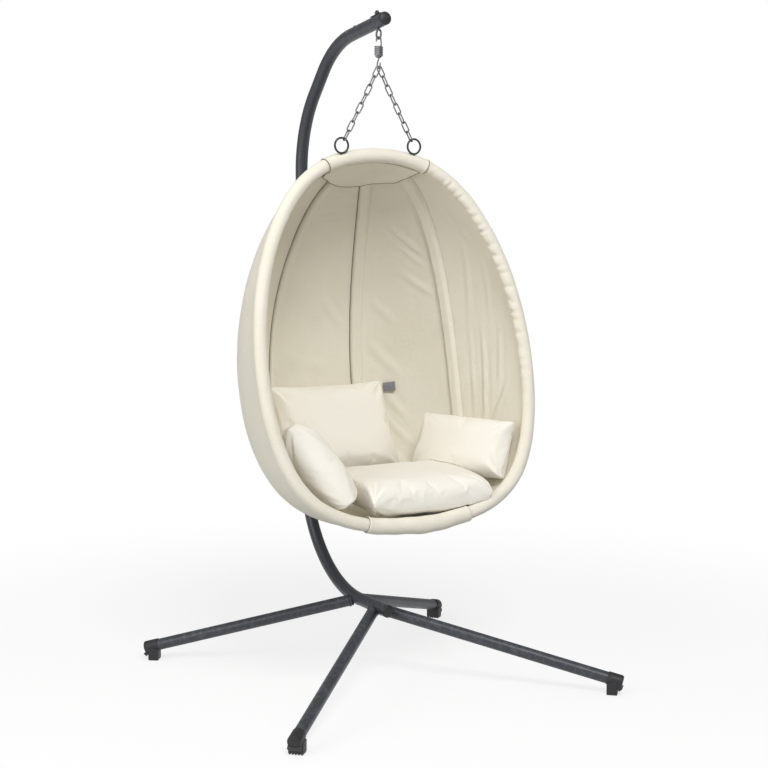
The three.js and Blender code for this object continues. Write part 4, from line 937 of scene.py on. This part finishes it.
def clamp(value):
    return min(1, max(0, value))


def smoothStep(value):
    value = clamp(value)
    return value * value * (3 - 2 * value)


def bell(value, width):
    # 1 in the middle, and next to nothing beyond twice the width
    return exp(-(value / width) ** 2)


def shellPoint(turn, column, inner):
    # column counts the grid's columns from the left edge; returns the point and how deep it lies in a slit,
    # which also sets how much painted shade it gets
    breaks = segmentBreaks(turn)
    counts = shell["columns"]
    segment = 0
    while segment < len(counts) - 1 and column >= counts[segment]:
        column -= counts[segment]
        segment += 1
    share = column / counts[segment]
    inPocket = segment % 2 == 1
    atEdge = segment in (0, len(counts) - 1)
    if not atEdge:
        share = 0.5 - 0.5 * cos(pi * share)
    angle = breaks[segment] + (breaks[segment + 1] - breaks[segment]) * share
    base = shell["inner"] if inner else shell["outer"]
    # pockets and creases run out towards the pod's ends
    fromEnd = min(turn, pi - turn) - radians(shell["plainFrom"])
    plain = clamp(fromEnd / radians(shell["plainOver"]))
    point = podPoint(turn, angle, 0)
    drape = sum(noise.noise(point * scale) * deep for scale, deep in shell["drape"])
    inset = base + (drape if inner else abs(drape) * shell["outerDrape"])
    start, end = bell(share, shell["lineWidth"]), bell(1 - share, shell["lineWidth"])
    slit = 0.0
    if inner:
        if inPocket:
            # a slit with a lapped edge at the start, and a stitched step at the end
            rise = min(smoothStep(share / shell["lap"]), smoothStep((1 - share) / shell["stitched"]))
            inset += (shell["crest"] - base) * rise * plain
            inset += plain * shell["ripple"] * noise.noise(point * 40)
            # painted shade in the slits at both edges of the pocket, strongest at the lapped edge
            before, after = shell["lines"][segment]
            slit = plain * (before * start + after * end)
            inset -= slit * shell["lineDepth"]
        inset += creaseDepth(turn, angle, hoopWidth(turn), podDepth(turn)) * plain
    elif inPocket:
        # on the outside, light painted shade along both edges of the pocket, where the cloth is drawn in
        slit = shell["outerLine"] * plain * (start + end)
        inset += slit * shell["outerDepth"]
    elif not atEdge:
        # the cloth is drawn flat between the ribs
        inset += plain * shell["drawnFlat"] * sin(pi * share)
    return podPoint(turn, angle, inset), slit


def makeShell():
    total, rows = sum(shell["columns"]), shell["rows"]
    bm = bmesh.new()
    # this attribute holds the painted shade of the pocket slits
    slitShadeLayer = bm.verts.layers.float.new("seam")
    first, last = radians(shell["topTurn"]), radians(shell["bottomTurn"])

    def place(inner, vert, column, row):
        point, slit = shellPoint(first + (last - first) * row / rows, column, inner)
        behind = (point - podTop).dot(podBack)
        if row in (0, rows) and behind > shell["tuck"]:
            point -= podBack * (behind - shell["tuck"])  # its ends reach in under the flaps
        vert.co = point
        vert[slitShadeLayer] = slit

    skins = [skin(bm, total, rows, place, inner) for inner in (True, False)]
    closeRims(bm, skins, total, rows)
    obj = meshObject("podShell", bm, 0)
    asPiece(obj, "podCloth", "pod", "pod_shell")


ribRod = {"end": 3.6, "inset": 0.0085, "radius": 0.0042, "steps": 120}


def makeRibs():
    steps, end = ribRod["steps"], ribRod["end"]
    turns = [radians(end + (180 - 2 * end) * k / steps) for k in range(steps + 1)]
    for i, rib in enumerate(pod["ribs"]):
        line = [podPoint(turn, radians(rib), ribRod["inset"]) for turn in turns]
        rod = tube(f"ribRod{i + 1}", line, ribRod["radius"], detail=3)
        asPiece(rod, "blackPlastic", "pod", f"rib_rod_{i + 1}")


makeShell()
makeRibs()
print("shell done")


# roof panel under the top, with a wavy hemmed edge
roof = {
    "inset": 0.0182, "thick": 0.0024, "start": 0.4, "reach": 0.0145, "columns": 96, "rows": 28, "round": 86,
    "sag": 0.004, "uneven": 0.0018, "stitch": 0.0012, "stitchAt": 0.955, "stitchWidth": 0.02,
    "shadeCordRadius": 0.0017,
    # the hem's place in degrees: (round the pod, down the pod)
    "hem": [(-88, 19.0), (-66, 19.4), (-45, 18.6), (-27, 19.4), (-14, 20.0), (-5, 20.2), (12, 20.0),
            (25, 19.2), (39, 19.8), (49, 20.8), (62, 19.9), (71, 19.4), (79, 19.2), (88, 18.8)],
}


def hemTurn(angle):
    across = degrees(angle)
    hem = roof["hem"]
    for (a, t), (b, u) in zip(hem, hem[1:]):
        if a <= across <= b:
            return radians(t + (u - t) * smoothStep((across - a) / (b - a)))
    return radians(hem[0][1])


def makeRoof():
    bm = bmesh.new()
    columns = roof["columns"]
    start = radians(roof["start"])
    hem = {}
    for vert in gridVerts(bm, columns, roof["rows"]):
        across, row = vert.co.x, (vert.co.y + 1) / 2
        turn = start + (hemTurn(across * radians(roof["round"])) - start) * row
        angle = across * edgeAngle(turn, roof["inset"], roof["reach"])
        turn = start + (hemTurn(angle) - start) * row
        point = podPoint(turn, angle, 0)
        sag = roof["sag"] * sin(pi * row) * (1 - across ** 4)
        sag += noise.noise(point * 14) * roof["uneven"]
        # stitched line above the hem
        pull = roof["stitch"] * bell(row - roof["stitchAt"], roof["stitchWidth"])
        vert.co = podPoint(turn, angle, roof["inset"] + sag - pull)
        if row > 0.999:
            hem[round((across + 1) / 2 * columns)] = vert.co.copy()
    turnOut(bm)
    panel = meshObject("roofPanel", bm, 0)
    thicken(panel, roof["thick"], 0)
    asPiece(panel, "podCloth", "pod", "roof_panel")
    # the dark cord along the hem is painted shade of the gap under the panel's edge
    line = [hem[i] for i in sorted(hem)]
    asPiece(tube("roofEdgeShade", line, roof["shadeCordRadius"], detail=2), "edgeThread", "pod")


makeRoof()


# padded sleeves on the hoop; degrees down the hoop, and round it from outwards over the back
sleeve = {
    "radius": 0.0193, "thick": 0.006, "reach": 0.060, "steps": 300, "sides": 40, "uneven": 0.0009,
    "gatherAt": 66, "gatherOver": 42, "gather": 0.0064, "bulge": 0.0010, "frontal": 0.18,
    "slack": 0.0008, "seamAt": 128, "seamWidth": 0.06, "seam": 0.0022,
}


def outwards(turn, sign):
    # square to the hoop in its plane, away from the pod's middle
    step = 1e-3
    along = (hoopPoint(turn + step, sign) - hoopPoint(turn - step, sign)).normalized()
    out = along.cross(podBack)
    return -out if out.dot(hoopPoint(turn, sign) - podMiddle) < 0 else out


def roundHoop(here, out, angle, radius):
    return here + (out * cos(angle) + podBack * sin(angle)) * radius


def sleeveRadius(turn, angle, sign):
    down = degrees(turn)
    spot = Vector((sign * 3, down * 0.11, cos(angle) * 1.4))
    radius = sleeve["radius"] + sleeve["uneven"] * noise.noise(spot)
    inward = max(0.0, -cos(angle))
    frontal = max(0.0, -sin(angle))
    if sign > 0:
        # gathers where the right sleeve's cover is drawn tight on the curve
        strength = exp(-((down - sleeve["gatherAt"]) / sleeve["gatherOver"]) ** 4)
        wave = down * 2.0 + 1.6 * sin(down * 0.37) + 1.1 * sin(down * 0.83)
        pinch = abs(sin((wave + 1.4 * sin(angle)) * 0.40))
        uneven = 0.35 + 1.3 * abs(noise.noise(Vector((down * 0.21, angle * 0.6, 8))))
        where = sleeve["frontal"] * frontal + inward
        radius -= strength * sleeve["gather"] * uneven * (1 - pinch) ** 1.6 * where
        radius += strength * sleeve["bulge"] * pinch * inward
    else:
        wave = down * 1.1 + 0.8 * sin(down * 0.23)
        radius -= sleeve["slack"] * (1 - abs(sin(wave * 0.5))) ** 2 * inward
    # sewn seam where the shell joins, behind and inside
    return radius - sleeve["seam"] * bell(angle - radians(sleeve["seamAt"]), sleeve["seamWidth"])


def makeSleeves():
    low, high = turnAtWidth(sleeve["reach"], 0, 1), turnAtWidth(sleeve["reach"], pi, 2)
    for side, sign in (("left", -1), ("right", 1)):
        bm = bmesh.new()
        for vert in gridVerts(bm, sleeve["steps"], sleeve["sides"]):
            turn = low + (high - low) * (vert.co.x + 1) / 2
            angle = (vert.co.y + 1) * pi
            radius = sleeveRadius(turn, angle, sign)
            vert.co = roundHoop(hoopPoint(turn, sign), outwards(turn, sign), angle, radius)
        obj = meshObject(side + "Sleeve", cleaned(bm), 0)
        thicken(obj, sleeve["thick"], -1)
        asPiece(obj, "podCloth", "pod", f"{side}_hoop_sleeve")


makeSleeves()
# flaps round the hoop at the top and the bottom
flap = {
    "half": 0.166, "thick": 0.0024, "clear": 0.0200, "from": 56, "to": -196, "along": 120, "round": 64,
    "ridge": 0.172, "open": 0.66, "girth": 0.0215, "hem": 0.0013, "uneven": 0.0006, "lift": 0.0006,
    "rim": 0.0012, "rimAt": 0.985, "rimWidth": 0.02, "waves": (0.0038, 0.0026, 0.0012), "middle": 1e-4,
}


def makeFlap(name, node, top):
    bm = bmesh.new()
    low, high, nearEnd = (0.0, 1.0, 1e-3) if top else (pi, 2.0, pi - 1e-3)
    edges = {"left": [], "right": [], "ridgeLeft": [], "ridgeRight": []}
    belly, swing, ripple = flap["waves"]
    verts = gridVerts(bm, flap["along"], flap["round"])
    for vert in sorted(verts, key=lambda v: (round(v.co.x, 4), round(v.co.y, 4))):
        u, v = vert.co.x, (vert.co.y + 1) / 2
        width = abs(u) * flap["half"]
        aside = width > flap["middle"]
        turn = turnAtWidth(width, low, high) if aside else low
        sign = 1 if u >= 0 else -1
        out = outwards(turn if aside else nearEnd, sign)
        angle = radians(flap["from"] + (flap["to"] - flap["from"]) * v)
        radius = flap["clear"] + flap["uneven"] * noise.noise(Vector((u * 4, v * 3, 1 if top else 5)))
        radius += flap["rim"] * bell(abs(u) - flap["rimAt"], flap["rimWidth"])
        if top:
            radius += flap["lift"]
        else:
            loose = sin(pi * v) * (1 - abs(u) ** 6)
            wave = swing * sin(u * 5.2 + v * 3.0) + ripple * sin(u * 13 + v * 5)
            radius += loose * (belly + wave)
        vert.co = roundHoop(hoopPoint(turn, sign), out, angle, radius)
        # the ridge cords on the top flap are painted shade of the gap along its back edge
        ridge = top and abs(v - flap["ridge"]) < 0.5 / flap["round"]
        for key, onEdge in (("left", u < -0.999), ("right", u > 0.999),
                            ("ridgeLeft", ridge and u < -flap["open"]),
                            ("ridgeRight", ridge and u > flap["open"])):
            if onEdge:
                edges[key].append(vert.co.copy())
    turnOut(bm)
    obj = meshObject(name, bm, 0)
    thicken(obj, flap["thick"], 1)
    asPiece(obj, "podCloth", "pod", node)
    # dark cords at the flap ends and along the ridge: painted shade of the gaps there
    edgeShades = [tube(name + key.title(), line, flap["hem"], detail=2) for key, line in edges.items() if line]
    asPiece(joined(name + "EdgeShade", edgeShades), "edgeThread", "pod")


makeFlap("topFlap", "top_flap", True)
makeFlap("bottomFlap", "bottom_flap", False)
print("sleeves and flaps done")


def makeTab():
    # webbing tab sewn inside the shell
    bm = bmesh.new()
    bm.from_mesh(frame["nodes"]["webbing_tab"].data)
    bmesh.ops.remove_doubles(bm, verts=bm.verts, dist=1e-5)
    bmesh.ops.dissolve_limit(bm, angle_limit=0.05, verts=bm.verts, edges=bm.edges)
    bevel(bm, list(bm.edges), 0.0006, 3)
    turnOut(bm)
    asPiece(meshObject("webbingTab", bm), "webbing", "pod", "webbing_tab")


makeTab()


# draw pinches in the middle of the sides, upper is the thickness's share above the seam, bow lifts the ends
cushions = {
    "seatCushion": {
        "node": "seat_cushion", "body": "pod", "centre": (0.0540, -0.0948, 0.5820),
        "size": (0.3958, 0.3220, 0.1135), "turn": (3, 0, -1), "draw": 0.0, "welt": 0.012, "flat": 5,
        "upper": 0.72, "bow": 0.2, "fill": 0.7},
    "backCushion": {
        "node": "back_cushion", "body": "back_cushion_body", "centre": (-0.0082, 0.2358, 0.7202),
        "size": (0.3841, 0.2919, 0.1150), "turn": (64, 0, 0), "draw": 0.015, "welt": 0.012, "flat": 4,
        "upper": 0.5, "bow": 0, "fill": 0.65},
    "leftArmCushion": {
        "node": "left_arm_cushion", "body": "left_arm_cushion_body", "centre": (-0.2560, -0.1030, 0.6663),
        "size": (0.2260, 0.2830, 0.1360), "turn": (56, 84, -18), "draw": -0.03, "welt": 0.024, "flat": 3,
        "upper": 0.5, "bow": 0, "fill": 0.65},
    "rightArmCushion": {
        "node": "right_arm_cushion", "body": "right_arm_cushion_body", "centre": (0.2790, -0.0459, 0.6860),
        "size": (0.3198, 0.1780, 0.0980), "turn": (68, -64, -1), "draw": 0.01, "welt": 0.010, "flat": 4,
        "upper": 0.5, "bow": 0, "fill": 0.65},
}
cushionShape = {"crown": 0.5, "voxel": 0.005, "start": 0.98, "cap": 0.008, "frames": 20, "grid": 40}
swelling = {"quality": 5, "mass": 0.25, "use_pressure": True, "uniform_pressure_force": 4.0,
            "tension_stiffness": 18, "compression_stiffness": 18, "bending_stiffness": 0.6}


def cushionMatrix(spec):
    lean, yaw, roll = (radians(a) for a in spec["turn"])
    return (Matrix.Translation(spec["centre"]) @ Matrix.Rotation(yaw, 4, "Z") @ Matrix.Rotation(lean, 4, "X")
            @ Matrix.Rotation(roll, 4, "Z"))


def seamLevel(spec):
    # how far the seam lies above the middle of the cushion's thickness
    return (0.5 - spec["upper"]) * spec["size"][2]


def cushionSurface(spec, u, v, face, scale):
    width, height, thick = spec["size"]
    flat, welt = spec["flat"], spec["welt"]
    crown = max(0.0, (1 - abs(u) ** flat) * (1 - abs(v) ** flat)) ** cushionShape["crown"]
    reach = thick * (spec["upper"] if face > 0 else 1 - spec["upper"])
    level = seamLevel(spec) + face * (welt / 2 + (reach - welt / 2) * crown)
    return Vector((width / 2 * u * (1 - spec["draw"] * (1 - v * v)) * scale,
                   height / 2 * v * (1 - spec["draw"] * (1 - u * u)) * scale, level * scale))


def startCushion(name, spec):
    count = cushionShape["grid"]
    bm = bmesh.new()

    def place(face, vert, *spot):
        u, v = (sin((2 * i / count - 1) * pi / 2) for i in spot)
        vert.co = cushionSurface(spec, u, v, face, cushionShape["start"])

    closeRims(bm, [skin(bm, count, count, place, face) for face in (1, -1)], count, count)
    obj = meshObject(name, bm, 0)
    voxels = obj.modifiers.new("voxels", "REMESH")
    voxels.mode, voxels.voxel_size = "VOXEL", cushionShape["voxel"]
    applyModifiers(obj)
    return obj


def swell(objects):
    # all cushions are blown up together, and no point moves further than the cap
    starts = {}
    for obj in objects:
        starts[obj.name] = [v.co.copy() for v in obj.data.vertices]
        cloth = obj.modifiers.new("cloth", "CLOTH")
        for key, value in swelling.items():
            setattr(cloth.settings, key, value)
        cloth.settings.effector_weights.gravity = 0
        cloth.collision_settings.use_collision = False
        cloth.point_cache.frame_start, cloth.point_cache.frame_end = 1, cushionShape["frames"]
    for number in range(1, cushionShape["frames"] + 1):
        scene.frame_set(number)
    for obj in objects:
        applyModifiers(obj)
        for vert, start in zip(obj.data.vertices, starts[obj.name]):
            moved = vert.co - start
            if moved.length > cushionShape["cap"]:
                vert.co = start + moved * cushionShape["cap"] / moved.length
    scene.frame_set(1)


folds = {"reach": 0.15, "centre": 0.045, "width": 0.05, "depth": 0.011, "turns": 3.4}
piped = {"width": 0.0035, "from": 0.7, "over": 0.15, "depth": 0.0022, "pucker": 420, "uneven": 0.0022}


def finishCushion(obj, spec):
    # folds that run in from the corners, a drawn seam round the edge, then its place in the pod
    width, height, thick = spec["size"]
    seed = spec["centre"][0] * 30
    half = [max(abs(vert.co[k]) for vert in obj.data.vertices) for k in range(3)]
    fit = Matrix.Diagonal((*(size / 2 / reach for size, reach in zip(spec["size"], half)), 1))
    obj.data.transform(fit)
    corners = [(x, y) for x in (-1, 1) for y in (-1, 1)]
    for vert in obj.data.vertices:
        co = vert.co
        u, v = co.x / (width / 2), co.y / (height / 2)
        level = co.z - seamLevel(spec)
        for cornerX, cornerY in corners:
            dx, dy = (cornerX - u) * width / 2, (cornerY - v) * height / 2
            away = hypot(dx, dy)
            if away > folds["reach"]:
                continue
            turn = atan2(abs(dy), abs(dx))
            spot = Vector((turn * folds["turns"] + cornerX, cornerY * 2.0 + away * 6, seed))
            fade = bell(away - folds["centre"], folds["width"])
            co.z += copysign(folds["depth"], level) * noise.noise(spot) * fade
        drawn = bell(level, piped["width"]) * clamp((max(abs(u), abs(v)) - piped["from"]) / piped["over"])
        drawn *= piped["depth"] * (0.6 + 0.4 * sin((co.x + co.y) * piped["pucker"] + seed))
        co.x -= drawn * max(-1, min(1, u))
        co.y -= drawn * max(-1, min(1, v))
        uneven = piped["uneven"] * noise.noise(co * 14 + Vector((seed, 0, 0)))
        co.z += uneven + spec["bow"] * thick * min(1, abs(u)) ** 4
    obj.data.transform(cushionMatrix(spec))


# how far a cushion keeps from the hoop's line, under the sleeves and under the flaps
contact = {"sleeve": 0.0224, "flap": 0.0268, "flapEnd": 0.176, "room": 0.001, "samples": 500}


def hoopTree():
    tree = KDTree(2 * contact["samples"])
    for i in range(2 * contact["samples"]):
        turn = (i // 2 + 0.5) / contact["samples"] * pi
        tree.insert(hoopPoint(turn, 1 if i % 2 else -1), i)
    tree.balance()
    return tree


def pressOff(obj, line, others):
    # a cushion dents where it lies on the padded hoop or on another cushion
    for vert in obj.data.vertices:
        near, _, away = line.find(vert.co)
        least = contact["flap"] if abs(near.x) < contact["flapEnd"] else contact["sleeve"]
        if away < least:
            vert.co = near + (vert.co - near) * least / away
    for other in others:
        press = obj.modifiers.new("press", "SHRINKWRAP")
        press.target, press.offset = other, contact["room"]
        press.wrap_method, press.wrap_mode = "NEAREST_SURFACEPOINT", "OUTSIDE"
        applyModifiers(obj)


pieces = {name: startCushion(name, spec) for name, spec in cushions.items()}
swell(list(pieces.values()))
hoopLine = hoopTree()
finished = []
for name, spec in cushions.items():
    obj = pieces[name]
    finishCushion(obj, spec)
    fine = obj.modifiers.new("fine", "SUBSURF")
    fine.levels = fine.render_levels = 1
    applyModifiers(obj)
    pressOff(obj, hoopLine, finished)
    finished.append(obj)
    obj.data.shade_smooth()
    asPiece(obj, "cushionCloth", spec["body"], spec["node"])
print("cushions done")


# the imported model's own pieces that stay, inside the chair
carried = {
    "zincSteel": ("lower_joint_sleeve", "upper_joint_sleeve", "lower_joint_screw", "upper_joint_screw",
                  "hoop_top_spigot", "hoop_bottom_spigot"),
    "blackPlastic": ("upper_rib_bracket", "lower_rib_bracket"),
}
for finish, nodes in carried.items():
    for node in nodes:
        dress(frame["nodes"][node], finish)


studio = {
    "floor": 12.0, "drop": 0.0006, "floorLight": 0.76, "floorTone": 0.5, "whiteFrom": 0.9, "whiteAt": 2.6,
    "world": 0.40, "aim": 0.9,
    "lamps": {"keyLamp": (150.0, 1.8, (-0.9, -3.6, 4.6)), "fillLamp": (74.0, 3.0, (-4.2, -0.8, 2.2))},
}


def makeFloor():
    bm = bmesh.new()
    bmesh.ops.create_circle(bm, cap_ends=True, segments=96, radius=studio["floor"])
    ground = meshObject("studioFloor", bm, 0)
    ground.data.transform(Matrix.Translation((0, 0, -studio["drop"])))
    material, tree, surface, place = blankMaterial("studioFloor")
    setInputs(tree, surface, {"Base Color": (*[studio["floorTone"]] * 3, 1), "Roughness": 0.9,
                              "Specular IOR Level": 0.1})
    bright = add(tree, "ShaderNodeEmission", {"Color": (1, 1, 1, 1), "Strength": 1.0}).outputs[0]
    plain = add(tree, "ShaderNodeBsdfDiffuse", {"Color": (1, 1, 1, 1)}).outputs[0]
    away = add(tree, "ShaderNodeVectorMath", {0: place}, operation="LENGTH").outputs["Value"]
    white = ramp(tree, away, studio["whiteFrom"], studio["whiteAt"], studio["floorLight"], 1.0)
    shown = add(tree, "ShaderNodeMixShader", {0: white, 1: plain, 2: bright}).outputs[0]
    rays = tree.nodes.new("ShaderNodeLightPath").outputs
    seen = math2(tree, "MAXIMUM", rays["Is Camera Ray"], rays["Is Glossy Ray"])
    final = add(tree, "ShaderNodeMixShader", {0: seen, 1: surface.outputs[0], 2: shown}).outputs[0]
    setInputs(tree, tree.nodes["Material Output"], {"Surface": final})
    ground.data.materials.append(material)


def makeLight():
    world = scene.world or bpy.data.worlds.new("studio")
    scene.world = world
    world.use_nodes = True
    tree = world.node_tree
    rays = tree.nodes.new("ShaderNodeLightPath").outputs
    seen = math2(tree, "MAXIMUM", rays["Is Camera Ray"], rays["Is Transmission Ray"])
    setInputs(tree, tree.nodes["Background"], {
        "Color": (1, 1, 1, 1), "Strength": ramp(tree, seen, 0.0, 1.0, studio["world"], 1.0)})
    for name, (power, size, at) in studio["lamps"].items():
        lamp = bpy.data.lights.new(name, "AREA")
        lamp.energy, lamp.size = power, size
        obj = inScene(name, lamp)
        obj.location = at
        obj.rotation_euler = (upZ * studio["aim"] - Vector(at)).to_track_quat("-Z", "Y").to_euler()


camera = {"sensor_width": 36, "lens": 76.18, "clip_end": 60}
cameraAt, cameraTurn = (-2.334, -4.142, 1.4395), (90 - 6.673, 0, -29.716)


def makeCamera():
    view = bpy.data.cameras.new("photoView")
    for key, value in camera.items():
        setattr(view, key, value)
    obj = inScene("photoView", view)
    obj.location = cameraAt
    obj.rotation_euler = [radians(angle) for angle in cameraTurn]
    scene.camera = obj


makeFloor()
makeLight()
makeCamera()
scene.view_settings.view_transform = "Standard"

print("scene done")
